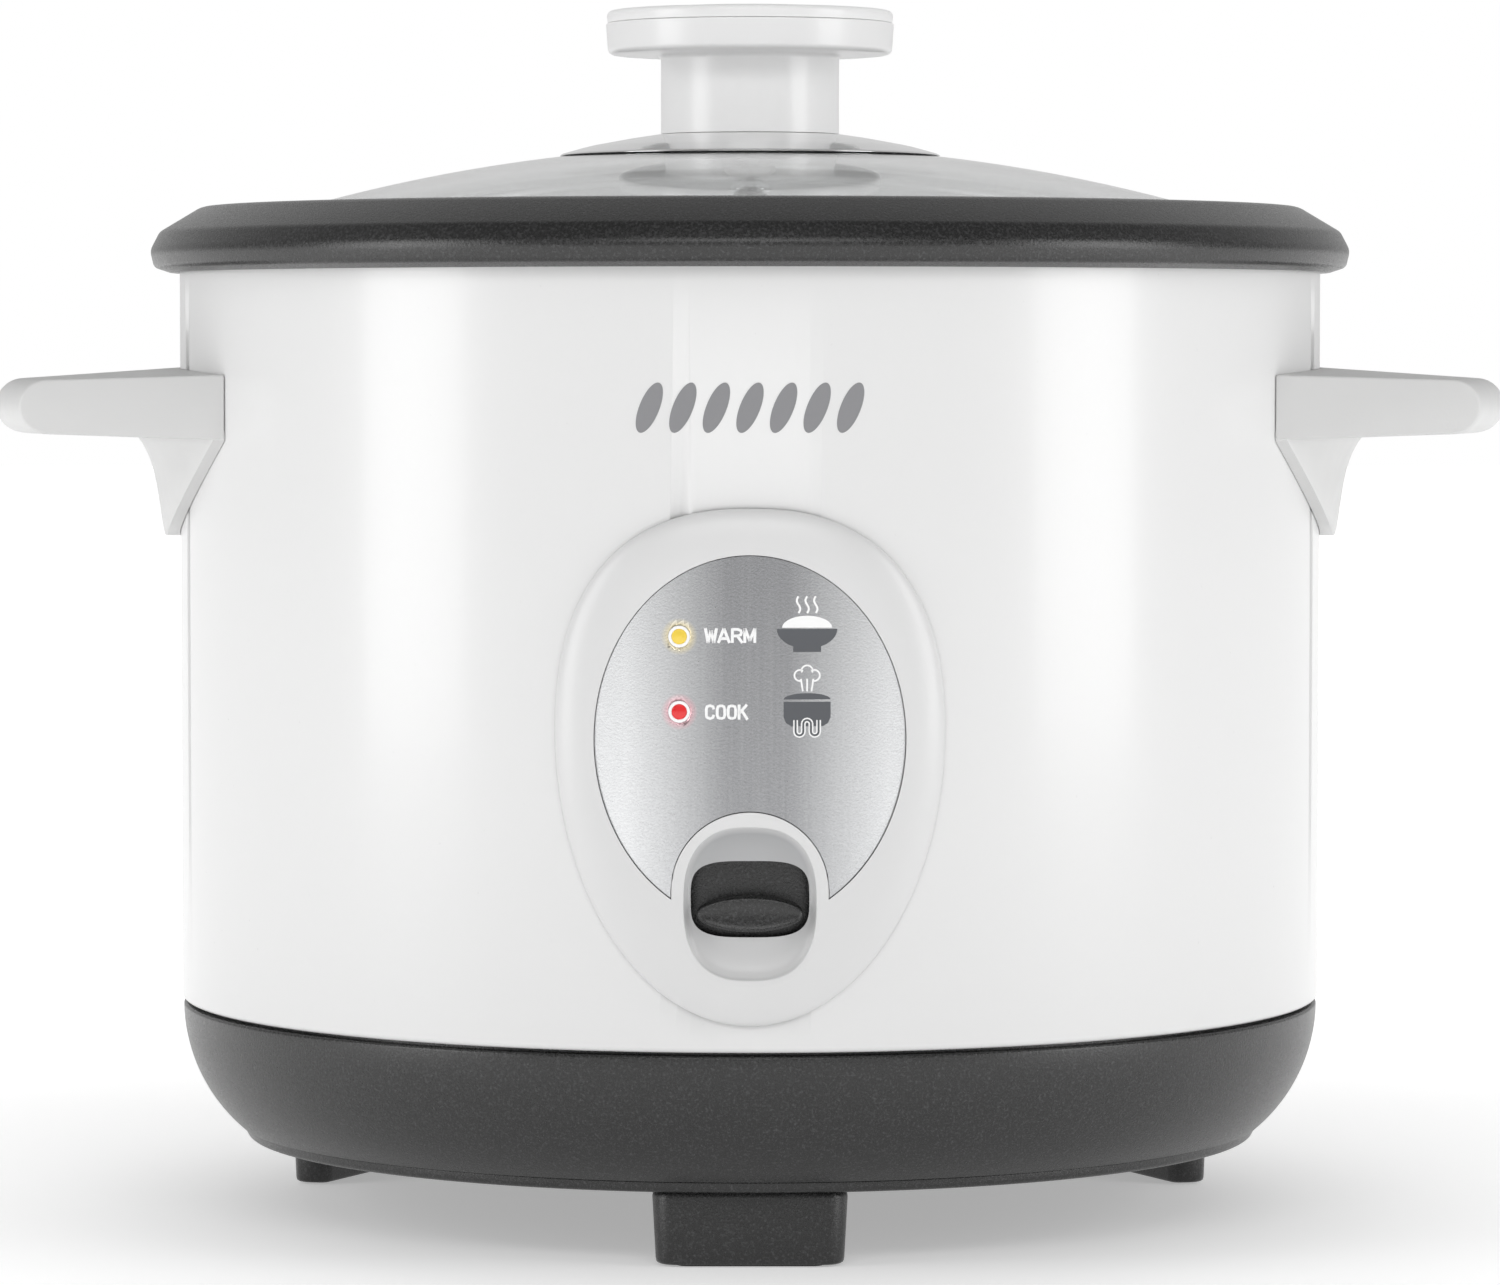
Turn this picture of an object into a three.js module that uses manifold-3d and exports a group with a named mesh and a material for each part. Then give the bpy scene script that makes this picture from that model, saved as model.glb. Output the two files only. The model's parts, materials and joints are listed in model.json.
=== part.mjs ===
// Conventional electric rice cooker with a glass lid: 24 cm pot, side handles, one cook/warm lever.
// Millimetres, +Z up. The origin is on the worktop under the pot's axis and the lever faces -Y.
// Nested round parts share one segment count, so their facets run parallel and stay clear.

import * as THREE from 'three';
import { mergeVertices } from 'three/addons/utils/BufferGeometryUtils.js';
import Module from 'manifold-3d';

const wasm = await Module();
wasm.setup();

// ---------------------------------------------------------------- driving dimensions

const ROUND = 32; // facets round the body
const MEDIUM = 20; // facets round the knob
const SMALL = 8; // facets round screws and pins
const GAP = 0.3; // clearance left between touching pieces

const BODY_R = 129.6; // outside of the painted body
const BODY_WALL = 1.2;
const BODY_BOTTOM = 47.9;
const BODY_TOP = 213.0;

const RING_R = 136.3; // outermost bead of the top ring
const RING_TOP = 227.3;
const RING_MOUTH_R = 119.7;
const RING_SEAT = 217.2; // underside that covers the well's flange

const WELL_R = 115.6; // inside of the well that the pot hangs in
const WELL_WALL = 1.0;
const WELL_FLOOR = 55.0;

const POT_R = 112.4;
const POT_WALL = 1.5;
const POT_LIP_R = 118.5;
const POT_TOP = 218.7;
const POT_BOTTOM = 74.0;

const PLATE_R = 92.0;
const PLATE_TOP = 73.7;
const PLATE_UNDER = 65.7;
const ELEMENT_R = 65.0;
const ELEMENT_WIRE_R = 3.4;
const ELEMENT_TERMINAL_ANGLE = 8; // degrees either side of the rear

const GLASS_SPHERE_R = 375; // the lid is a shallow cap of a large sphere
const GLASS_TOP = 241.3;
const GLASS_EDGE_R = 114.5;
const GLASS_WALL = 3.0;
const KNOB_TOP = 273.0;
const KNOB_R = 32.8;
const STEM_R = 20.3;
const VENT_Y = 62;

const COVER_R = 115.3; // bottom cover, the lower step of the base
const COVER_BOTTOM = 16.5;
const COVER_TOP = 19.0;
const TUB_FLANGE_TOP = 21.6;
const FOOT_ANGLES = { front: -90, rear_right: 25, rear_left: 155 };
const FOOT_FACE_R = 110; // distance of a foot's outer face from the axis
const FOOT_DEPTH = 10;
const FOOT_WIDTH = 41.7;
const POST_ANGLES = { right: -30, rear: 90, left: 210 };
const POST_R = 100; // where the tie posts stand

const HANDLE_REACH = 171; // radius of a handle's outer edge
const HANDLE_HALF_SPAN = 60;
const HANDLE_BOTTOM = 175.2; // the tongue's lower and upper face at the body
const HANDLE_TOP = 190.4;
const HANDLE_NOSE_BOTTOM = 176.5; // and where its round nose begins
const HANDLE_NOSE_TOP = 188.6;
const HANDLE_SCREW_Y = 32;
const HANDLE_SCREW_Z = 182.5;
const GUSSET_BOTTOM = 152.8;
const GUSSET_TOP_X = 114.6; // where the gusset's slanting edge meets the tongue
const GUSSET_FLATTEN = 0.81; // the gusset bulges less towards its sides

// Outlines on the front, in X and Z: half width, height above and below z, and how square each
// half is (2 is an ellipse).
const BEZEL_OUTLINE = { z: 115.0, half: 40.9, up: 47.0, down: 61.2, squareUp: 2.4, squareDown: 2 };
const FASCIA_OUTLINE = { z: 113.8, half: 32.5, up: 38.4, down: 38.4, squareUp: 2, squareDown: 2 };
const NOTCH_OUTLINE = { z: 82.2, half: 16.6, up: 16.7, down: 34, squareUp: 2, squareDown: 12 };
const SCOOP_OUTLINE = { z: 79.6, half: 13.7, up: 15.9, down: 15.9, squareUp: 2.6, squareDown: 2.6 };
const MOUTH_OUTLINE = { z: 80.4, half: 12.4, up: 8.0, down: 8.0, squareUp: 4, squareDown: 4 };
const SHELL_MOUTH = { z: 80.4, half: 13.2, up: 8.8, down: 8.8, squareUp: 4, squareDown: 4 };
const PAD_OUTLINE = { z: 77.3, half: 11.0, up: 3.65, down: 3.65, squareUp: 2, squareDown: 2 };
const BEZEL_R = 133.4;
const FASCIA_R = 132.6;

const LAMP_X = -14.75;
const LAMP_HEIGHTS = { warm: 135.4, cook: 119.7 };
const LAMP_LENS_R = 1.6;

const PIVOT = new THREE.Vector3(0, -50, 44.5); // lever pin, along X
const PIN_R = 2.0;
const ARM_BOTTOM = 43.0;
const ARM_TOP = 46.0;
const ARM_HALF = 5;
const SHIELD_R = 126.3;
const SWITCH_Y = -70;

const CAN_R = 18.6;
const CAN_WALL = 1.0;
const MAGNET_BOTTOM = 46.3;

const INLET_Z = 33.75;
const INLET_BACK = 108;
const INLET_MOUTH = 130.5;
const PINS = { live: [7, 31, 104.2], neutral: [-7, 31, 104.2], earth: [0, 36.5, 106] };

// ---------------------------------------------------------------- materials

const finish = (color, roughness, metalness = 0) => ({ color, roughness, metalness });
const WHITE_GLOSS = finish(0xf1f1ef, 0.25);
const WHITE_SATIN = finish(0xe6e7e6, 0.45);
const LIGHT_GREY = finish(0xdcdcda, 0.5);
const CHARCOAL = finish(0x3b3b3e, 0.45);
const BLACK = finish(0x1c1c1f, 0.5);
const RUBBER = finish(0x262627, 0.85);
const STEEL = finish(0xb9babc, 0.3, 1);
const SPRING_STEEL = finish(0x8d8e90, 0.35, 1);
const ALUMINIUM = finish(0xc4c5c6, 0.4, 1);
const SILVER_PANEL = finish(0xb4b6b9, 0.35, 1);
const GLASS = { color: 0xdfe9ea, roughness: 0.03, metalness: 0, transparent: true, opacity: 0.35 };
const AMBER = finish(0xe8c83a, 0.2);
const RED = finish(0xdd2b2b, 0.2);
const BOARD_GREEN = finish(0x2f6b3f, 0.6);
const FERRITE = finish(0x2d2c2b, 0.7);
const BRASS = finish(0xc7a24a, 0.35, 1);
const MICA = finish(0xb79a6a, 0.7);
const WIRE_WHITE = finish(0xd9d6cc, 0.6);
const WIRE_BROWN = finish(0x6b4631, 0.6);

// ---------------------------------------------------------------- geometry helpers

const radians = (degrees) => (degrees * Math.PI) / 180;

// Joins shared corners and drops the empty triangles at a lathe's poles.
function welded(geometry) {
  const plain = geometry.clone();
  plain.deleteAttribute('normal');
  plain.deleteAttribute('uv');
  const merged = mergeVertices(plain, 1e-3);
  const faces = merged.index.array;
  const kept = [];
  for (let i = 0; i < faces.length; i += 3) {
    const [a, b, c] = [faces[i], faces[i + 1], faces[i + 2]];
    if (a !== b && b !== c && c !== a) kept.push(a, b, c);
  }
  merged.setIndex(kept);
  return outward(merged);
}

// Turns the triangles over when the closed shape is inside out.
function outward(geometry) {
  const at = geometry.attributes.position;
  const faces = Array.from(geometry.index.array);
  const corner = (i) => new THREE.Vector3().fromBufferAttribute(at, faces[i]);
  let volume = 0;
  for (let i = 0; i < faces.length; i += 3) {
    volume += corner(i).dot(corner(i + 1).cross(corner(i + 2)));
  }
  if (volume < 0) {
    for (let i = 0; i < faces.length; i += 3) {
      [faces[i], faces[i + 1]] = [faces[i + 1], faces[i]];
    }
    geometry.setIndex(faces);
  }
  return geometry;
}

function solid(geometry) {
  const closed = welded(geometry);
  const vertProperties = new Float32Array(closed.attributes.position.array);
  const triVerts = new Uint32Array(closed.index.array);
  return new wasm.Manifold(new wasm.Mesh({ numProp: 3, vertProperties, triVerts }));
}

function fromSolid(manifold) {
  const mesh = manifold.getMesh();
  const geometry = new THREE.BufferGeometry();
  geometry.setAttribute('position', new THREE.BufferAttribute(mesh.vertProperties, 3));
  geometry.setIndex(Array.from(mesh.triVerts));
  return geometry;
}

// A base shape with the cutters taken out of it.
function cut(base, ...cutters) {
  return fromSolid(cutters.reduce((rest, tool) => rest.subtract(solid(tool)), solid(base)));
}

function join(...pieces) {
  return fromSolid(pieces.map(solid).reduce((all, piece) => all.add(piece)));
}

function common(a, b) {
  return fromSolid(solid(a).intersect(solid(b)));
}

// A turned piece about Z from [radius, height] pairs; a ring's profile closes on itself.
function turned(profile, facets = ROUND) {
  const points = profile.map(([r, z]) => new THREE.Vector2(r, z));
  if (profile[0][0] > 0) points.push(points[0].clone());
  return welded(new THREE.LatheGeometry(points, facets).rotateX(Math.PI / 2));
}

// Points of a circular or elliptical arc, for use in a profile.
function arc(r, z, radiusR, radiusZ, from, to, steps) {
  const points = [];
  for (let i = 0; i <= steps; i++) {
    const angle = radians(from + ((to - from) * i) / steps);
    points.push([r + radiusR * Math.cos(angle), z + radiusZ * Math.sin(angle)]);
  }
  return points;
}

const shapeOf = (points) => new THREE.Shape(points.map(([x, y]) => new THREE.Vector2(x, y)));

function block(x0, x1, y0, y1, z0, z1) {
  const box = new THREE.BoxGeometry(x1 - x0, y1 - y0, z1 - z0);
  return box.translate((x0 + x1) / 2, (y0 + y1) / 2, (z0 + z1) / 2);
}

// Cylinders along each axis, from one coordinate to another.
const rodZ = (x, y, r, z0, z1, facets = SMALL) =>
  turned([[0, z0], [r, z0], [r, z1], [0, z1]], facets).translate(x, y, 0);
const rodY = (x, z, r, y0, y1, facets = SMALL) =>
  turned([[0, y0], [r, y0], [r, y1], [0, y1]], facets).rotateX(-Math.PI / 2).translate(x, 0, z);
const rodX = (y, z, r, x0, x1, facets = SMALL) =>
  turned([[0, x0], [r, x0], [r, x1], [0, x1]], facets).rotateY(Math.PI / 2).translate(0, y, z);

// A point on a front outline at an angle, in X and Z.
function outlinePoint(outline, angle) {
  const [c, s] = [Math.cos(angle), Math.sin(angle)];
  const [reach, square] = s > 0 ? [outline.up, outline.squareUp] : [outline.down, outline.squareDown];
  const spread = (value) => Math.sign(value) * Math.abs(value) ** (2 / square);
  return [outline.half * spread(c), outline.z + reach * spread(s)];
}

const grown = (outline, by) => ({
  ...outline,
  half: outline.half + by,
  up: outline.up + by,
  down: outline.down + by,
});

// A plug along Y that runs from one outline at yFront to another at yBack.
function plug(front, back, yFront, yBack, facets = 40) {
  const geometry = new THREE.CylinderGeometry(1, 1, 1, facets, 1);
  const at = geometry.attributes.position;
  for (let i = 0; i < at.count; i++) {
    const [x, y, z] = [at.getX(i), at.getY(i), at.getZ(i)];
    const onAxis = Math.hypot(x, z) < 0.5;
    const outline = y > 0 ? front : back;
    const [px, pz] = onAxis ? [0, outline.z] : outlinePoint(outline, Math.atan2(z, x));
    at.setXYZ(i, px, y > 0 ? yFront : yBack, pz);
  }
  return welded(geometry);
}

function tube(points, r, steps, sides = 8) {
  const path = new THREE.CatmullRomCurve3(points.map((p) => new THREE.Vector3(...p)));
  const section = shapeOf(arc(0, 0, r, r, 0, 360, sides).slice(1));
  return welded(new THREE.ExtrudeGeometry(section, { steps, extrudePath: path }));
}

// A helical compression spring about Z with its wire inside the two heights.
function spring(radius, wire, z0, z1, turns, stepsPerTurn = 10) {
  const points = [];
  const count = turns * stepsPerTurn;
  for (let i = 0; i <= count; i++) {
    const angle = (2 * Math.PI * i) / stepsPerTurn;
    const z = z0 + wire + ((z1 - z0 - 2 * wire) * i) / count;
    points.push([radius * Math.cos(angle), radius * Math.sin(angle), z]);
  }
  return tube(points, wire, count, 5);
}

// ---------------------------------------------------------------- scene graph

const cooker = new THREE.Group();

function add(name, geometry, look, parent = cooker) {
  const mesh = new THREE.Mesh(geometry, new THREE.MeshStandardMaterial(look));
  mesh.name = name;
  parent.add(mesh);
  return mesh;
}

const onRing = (angle, radius) => [
  radius * Math.cos(radians(angle)),
  radius * Math.sin(radians(angle)),
];

// ---------------------------------------------------------------- casing

function outerShell() {
  const inside = BODY_R - BODY_WALL;
  const roll = 2.5; // the lower edge is rolled inwards
  const wall = turned([
    [inside, BODY_TOP],
    [BODY_R, BODY_TOP],
    ...arc(BODY_R - roll, BODY_BOTTOM + roll, roll, roll, 0, -90, 2),
    [BODY_R - roll, BODY_BOTTOM + BODY_WALL],
    [inside, BODY_BOTTOM + roll],
  ]);
  const holes = [plug(SHELL_MOUTH, SHELL_MOUTH, -135, -120)];
  for (const z of Object.values(LAMP_HEIGHTS)) {
    holes.push(rodY(LAMP_X, z, LAMP_LENS_R + 0.6, -135, -120));
  }
  for (const side of [-1, 1]) {
    for (const y of [-HANDLE_SCREW_Y, HANDLE_SCREW_Y]) {
      const [from, to] = side > 0 ? [110, 140] : [-140, -110];
      holes.push(rodX(y, HANDLE_SCREW_Z, 2.0, from, to));
    }
  }
  return cut(wall, ...holes);
}

function topRing() {
  return turned([
    [RING_MOUTH_R, RING_SEAT],
    [RING_MOUTH_R, RING_TOP - 0.5],
    [RING_MOUTH_R + 0.5, RING_TOP],
    [122.3, RING_TOP],
    [124.2, RING_TOP - 0.8],
    ...arc(RING_R - 3.1, 216.9, 3.1, 4.2, 60, -120, 6),
    [130.2, BODY_TOP + 0.5],
    [128.0, BODY_TOP + 0.5],
    [128.0, 207.0],
    [125.8, 207.0],
    [125.8, RING_SEAT],
  ]);
}

function innerShell() {
  const outside = WELL_R + WELL_WALL;
  const flange = RING_SEAT - GAP;
  const floor = turned([
    [125.3, flange],
    [125.3, flange - WELL_WALL],
    [outside, flange - WELL_WALL],
    [outside, WELL_FLOOR + 3],
    [outside - 3, WELL_FLOOR],
    [20.2, WELL_FLOOR],
    [20.2, WELL_FLOOR + WELL_WALL],
    [WELL_R - 2.6, WELL_FLOOR + WELL_WALL],
    [WELL_R, WELL_FLOOR + 3.6],
    [WELL_R, flange],
  ]);
  const holes = [-1, 1].map((side) => {
    const [x, y] = onRing(90 + side * ELEMENT_TERMINAL_ANGLE, ELEMENT_R);
    return rodZ(x, y, ELEMENT_WIRE_R + 1.4, WELL_FLOOR - 5, WELL_FLOOR + 5);
  });
  return cut(floor, ...holes);
}

function baseTub() {
  const tub = turned([
    [124.7, 53.0],
    [126.6, 53.0],
    [126.6, 47.2],
    [128.9, 47.2],
    [129.3, 46.8],
    [129.0, 40.8],
    [127.4, 34.0],
    [124.0, 27.2],
    [120.6, 22.7],
    [116.3, COVER_TOP + GAP],
    [94, COVER_TOP + GAP],
    [94, TUB_FLANGE_TOP],
    [115.4, TUB_FLANGE_TOP],
    [120.4, 26.6],
    [124.7, 37.2],
  ]);
  const holes = Object.values(POST_ANGLES).map((angle) => {
    const [x, y] = onRing(angle, POST_R);
    return rodZ(x, y, 1.9, 15, 25);
  });
  return cut(tub, ...holes, block(-15.8, 15.8, 100, 140, INLET_Z - 9.05, INLET_Z + 9.05));
}

function bottomCover() {
  const disc = turned([
    [0, COVER_BOTTOM],
    [COVER_R - 2, COVER_BOTTOM],
    [COVER_R - 0.6, COVER_BOTTOM + 0.6],
    [COVER_R, COVER_BOTTOM + 1.8],
    [COVER_R, COVER_TOP],
    [0, COVER_TOP],
  ]);
  const holes = Object.values(POST_ANGLES).map((angle) => {
    const [x, y] = onRing(angle, POST_R);
    return rodZ(x, y, 1.9, 15, 25);
  });
  for (const angle of Object.values(FOOT_ANGLES)) {
    const [x, y] = onRing(angle, FOOT_FACE_R - FOOT_DEPTH / 2);
    holes.push(rodZ(x, y, 4.4, 15, 25));
  }
  const slots = 12;
  for (let i = 0; i < slots; i++) {
    const slot = block(46, 74, -2, 2, 15, 25);
    holes.push(slot.rotateZ(radians((i + 0.5) * (360 / slots))));
  }
  return cut(disc, ...holes);
}

// ---------------------------------------------------------------- feet and tie posts

function roundedPlate(width, depth, radius, z0, z1, bevel) {
  const [w, d] = [width / 2 - radius, depth / 2 - radius];
  const shape = shapeOf([
    ...arc(w, d, radius, radius, 0, 90, 4),
    ...arc(-w, d, radius, radius, 90, 180, 4),
    ...arc(-w, -d, radius, radius, 180, 270, 4),
    ...arc(w, -d, radius, radius, 270, 360, 4),
  ]);
  const plate = new THREE.ExtrudeGeometry(shape, {
    depth: z1 - z0 - 2 * bevel,
    bevelEnabled: bevel > 0,
    bevelThickness: bevel,
    bevelSize: bevel,
    bevelOffset: -bevel,
    bevelSegments: 1,
  });
  return plate.translate(0, 0, z0 + bevel);
}

// A foot stands under the cover at +Y before it is turned to its place; its peg holds it.
function foot() {
  const mid = FOOT_FACE_R - FOOT_DEPTH / 2;
  const top = COVER_BOTTOM - GAP;
  const bottom = 0.5;
  const foot = roundedPlate(FOOT_WIDTH, FOOT_DEPTH, 4.9, bottom, top, 0.8);
  const at = foot.attributes.position;
  for (let i = 0; i < at.count; i++) {
    const narrowing = 1 - 0.05 * ((top - at.getZ(i)) / top); // slightly narrower at the floor
    at.setX(i, at.getX(i) * narrowing);
  }
  const peg = rodZ(0, 0, 4.0, top - 2, COVER_TOP - 0.2);
  const pocket = roundedPlate(32.6, 6.1, 2.9, -2, 2.8, 0);
  return cut(join(foot, peg), pocket).translate(0, mid, 0);
}

function footPad() {
  return welded(roundedPlate(32, 5.5, 2.6, 0, 2.5, 0)).translate(0, FOOT_FACE_R - FOOT_DEPTH / 2, 0);
}

function tiePost() {
  return turned(
    [[0, 32], [1.8, 32], [1.8, 21.9], [4.5, 21.9], [4.5, WELL_FLOOR - GAP], [0, WELL_FLOOR - GAP]],
    SMALL
  );
}

function screw(head, headHeight, shaft, length) {
  return turned(
    [[0, 0], [head * 0.8, 0], [head, headHeight * 0.5], [head, headHeight],
      [shaft, headHeight], [shaft, length], [0, length]],
    SMALL
  );
}

function makeBase() {
  add('outer_shell', outerShell(), WHITE_GLOSS);
  add('top_ring', topRing(), CHARCOAL);
  add('inner_shell', innerShell(), ALUMINIUM);
  add('base_tub', baseTub(), CHARCOAL);
  add('bottom_cover', bottomCover(), CHARCOAL);
  for (const [place, angle] of Object.entries(FOOT_ANGLES)) {
    const turn = radians(angle - 90);
    add(`foot_${place}`, foot(), CHARCOAL).rotation.z = turn;
    add(`foot_pad_${place}`, footPad(), RUBBER).rotation.z = turn;
  }
  for (const [place, angle] of Object.entries(POST_ANGLES)) {
    const [x, y] = onRing(angle, POST_R);
    add(`tie_post_${place}`, tiePost(), STEEL).position.set(x, y, 0);
    add(`base_screw_${place}`, screw(3.6, 1.9, 1.5, 15), STEEL).position.set(x, y, 14.3);
  }
}

// ---------------------------------------------------------------- handles

// The right-hand handle: a bullnosed tongue turned about the body's axis and trimmed to its span,
// on a gusset whose lower edge is cut by a slanting plane.
function handle() {
  const nose = (HANDLE_NOSE_TOP - HANDLE_NOSE_BOTTOM) / 2;
  const tongue = turned([
    [110, HANDLE_BOTTOM],
    ...arc(HANDLE_REACH - nose, HANDLE_NOSE_BOTTOM + nose, nose, nose, -90, 90, 6),
    [BODY_R, HANDLE_TOP],
    [110, HANDLE_TOP],
  ], 64);
  const slab = block(100, 180, -HANDLE_HALF_SPAN, HANDLE_HALF_SPAN, 140, 200);

  const lap = HANDLE_BOTTOM + 3; // the gusset runs up inside the tongue
  const hug = turned([
    [110, GUSSET_BOTTOM],
    [133.4, GUSSET_BOTTOM],
    [134.1, 158.5],
    [135.4, 165.3],
    [136.4, 170.2],
    [139.0, 174.7],
    [140.5, lap],
    [110, lap],
  ], 64).scale(1, GUSSET_FLATTEN, 1);
  const face = shapeOf([
    [GUSSET_TOP_X, HANDLE_BOTTOM],
    [BODY_R, GUSSET_BOTTOM - 0.5],
    [150, GUSSET_BOTTOM - 0.5],
    [150, lap + 1],
    [GUSSET_TOP_X, lap + 1],
  ]);
  const wedge = new THREE.ExtrudeGeometry(face, { depth: 2 * HANDLE_HALF_SPAN - 1, bevelEnabled: false });
  wedge.rotateX(Math.PI / 2).translate(0, HANDLE_HALF_SPAN - 0.5, 0);

  const bodyR = BODY_R + GAP;
  const body = turned([[0, 100], [bodyR, 100], [bodyR, 240], [0, 240]]);
  const holes = [-HANDLE_SCREW_Y, HANDLE_SCREW_Y].map((y) =>
    rodX(y, HANDLE_SCREW_Z, 1.8, 110, 142)
  );
  return cut(join(common(tongue, slab), common(hug, wedge)), body, ...holes);
}

function makeHandles() {
  for (const [side, sign] of [['right', 1], ['left', -1]]) {
    add(`handle_${side}`, handle(), LIGHT_GREY).rotation.z = sign > 0 ? 0 : Math.PI;
    for (const [place, y] of [['front', -HANDLE_SCREW_Y], ['rear', HANDLE_SCREW_Y]]) {
      const piece = screw(3, 1.9, 1.5, 20).rotateY((sign * Math.PI) / 2);
      add(`handle_screw_${side}_${place}`, piece, STEEL).position.set(sign * 121, y, HANDLE_SCREW_Z);
    }
  }
}

// ---------------------------------------------------------------- control panel and lamps

function panelBezel() {
  const slab = turned([[BODY_R + GAP, 45], [BEZEL_R, 45], [BEZEL_R, 170], [BODY_R + GAP, 170]], 64);
  const plate = common(slab, plug(BEZEL_OUTLINE, BEZEL_OUTLINE, -140, -110, 40));
  const pocket = cut(
    plug(grown(FASCIA_OUTLINE, GAP), grown(FASCIA_OUTLINE, GAP), -140, -110, 40),
    plug(grown(NOTCH_OUTLINE, -GAP), grown(NOTCH_OUTLINE, -GAP), -145, -105)
  );
  return cut(plate, pocket, plug(SCOOP_OUTLINE, MOUTH_OUTLINE, -BEZEL_R - 0.2, -BODY_R + 1.2));
}

function panelFascia() {
  const slab = turned([[BODY_R + GAP, 45], [FASCIA_R, 45], [FASCIA_R, 170], [BODY_R + GAP, 170]], 64);
  const plate = common(slab, plug(FASCIA_OUTLINE, FASCIA_OUTLINE, -140, -110, 40));
  const holes = Object.values(LAMP_HEIGHTS).map((z) =>
    rodY(LAMP_X, z, LAMP_LENS_R + GAP, -140, -110)
  );
  return cut(plate, plug(NOTCH_OUTLINE, NOTCH_OUTLINE, -145, -105), ...holes);
}

function lampLens() {
  return turned(
    [[0, 121.9], [LAMP_LENS_R, 121.9], [LAMP_LENS_R, 132.0], [1.1, 132.5], [0, 132.7]],
    SMALL
  ).rotateX(Math.PI / 2);
}

function makePanel() {
  add('panel_bezel', panelBezel(), WHITE_SATIN);
  add('panel_fascia', panelFascia(), SILVER_PANEL);
  for (const [lamp, look] of [['warm', AMBER], ['cook', RED]]) {
    add(`lamp_lens_${lamp}`, lampLens(), look).position.set(LAMP_X, 0, LAMP_HEIGHTS[lamp]);
  }
  add('lamp_board', block(-20, -9.5, -121.6, -120.0, 113, 142), BOARD_GREEN);
}

// ---------------------------------------------------------------- heater and keep-warm band

function heatingPlate() {
  const disc = turned([
    [19.6, PLATE_UNDER],
    [19.6, PLATE_TOP - 0.6],
    [20.2, PLATE_TOP],
    [PLATE_R - 4, PLATE_TOP],
    [PLATE_R - 0.8, PLATE_TOP - 1.4],
    [PLATE_R, PLATE_TOP - 3],
    [PLATE_R, PLATE_UNDER + 1.5],
    [PLATE_R - 2, PLATE_UNDER],
  ]);
  const legs = [30, 150, 270].map((angle) => {
    const [x, y] = onRing(angle, 43);
    return rodZ(x, y, 4, WELL_FLOOR + WELL_WALL + GAP, PLATE_UNDER + 2, 12);
  });
  return join(disc, ...legs);
}

// The sheathed element runs once round under the plate and both ends drop through the well floor.
function heatingElement() {
  const level = PLATE_UNDER - ELEMENT_WIRE_R - 0.5;
  const drop = (side, z) => {
    const [x, y] = onRing(90 + side * ELEMENT_TERMINAL_ANGLE, ELEMENT_R);
    return [x, y, z];
  };
  const points = [drop(1, 46), drop(1, 52), drop(1, level - 3.5)];
  const sweep = 360 - 2 * (ELEMENT_TERMINAL_ANGLE + 5);
  for (let i = 0; i <= 24; i++) {
    const [x, y] = onRing(90 + ELEMENT_TERMINAL_ANGLE + 5 + (sweep * i) / 24, ELEMENT_R);
    points.push([x, y, level]);
  }
  points.push(drop(-1, level - 3.5), drop(-1, 52), drop(-1, 46));
  return tube(points, ELEMENT_WIRE_R, 52, 7);
}

function warmHeater() {
  const [inner, outer, half] = [WELL_R + WELL_WALL + 0.5, WELL_R + WELL_WALL + 2, 40];
  const band = shapeOf([
    ...arc(0, 0, outer, outer, 90 - half, 90 + half, 14),
    ...arc(0, 0, inner, inner, 90 + half, 90 - half, 14),
  ]);
  const options = { depth: 40, bevelEnabled: false };
  return welded(new THREE.ExtrudeGeometry(band, options)).translate(0, 0, 95);
}

function makeHeater() {
  add('heating_plate', heatingPlate(), ALUMINIUM);
  add('heating_element', heatingElement(), SPRING_STEEL);
  add('warm_heater', warmHeater(), MICA);
  const [x, y] = onRing(90 - ELEMENT_TERMINAL_ANGLE, ELEMENT_R);
  add('thermal_fuse', rodZ(x, y, 2.6, 33, 45.7), WIRE_WHITE);
}

// ---------------------------------------------------------------- thermostat

// The sprung can that touches the pot, open below, with a collar that stops under the plate.
function sensorCan() {
  return turned([
    [0, PLATE_TOP],
    [CAN_R - 1, PLATE_TOP],
    [CAN_R, PLATE_TOP - 1],
    [CAN_R, 62.4],
    [23.6, 62.4],
    [23.6, 61.2],
    [CAN_R, 61.2],
    [CAN_R, 50.5],
    [CAN_R - CAN_WALL, 50.5],
    [CAN_R - CAN_WALL, PLATE_TOP - 1.5],
    [0, PLATE_TOP - 1.5],
  ], MEDIUM);
}

function magnetPlunger() {
  return turned([
    [0, MAGNET_BOTTOM],
    [3, MAGNET_BOTTOM],
    [3, 55],
    [16.6, 55],
    [16.6, 57],
    [10, 57],
    [10, 65.7],
    [0, 65.7],
  ], MEDIUM);
}

function makeThermostat() {
  add('sensor_can', sensorCan(), ALUMINIUM);
  add('sensor_ferrite', rodZ(0, 0, 10, 66.0, 71.9, MEDIUM), FERRITE);
  add('sensor_spring', spring(21.6, 0.7, 56.3, 60.9, 2), SPRING_STEEL);
  add('magnet_plunger', magnetPlunger(), FERRITE);
  add('magnet_spring', spring(13.6, 0.7, 57.3, 71.9, 4), SPRING_STEEL);
}

// ---------------------------------------------------------------- cook lever and switch

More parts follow.
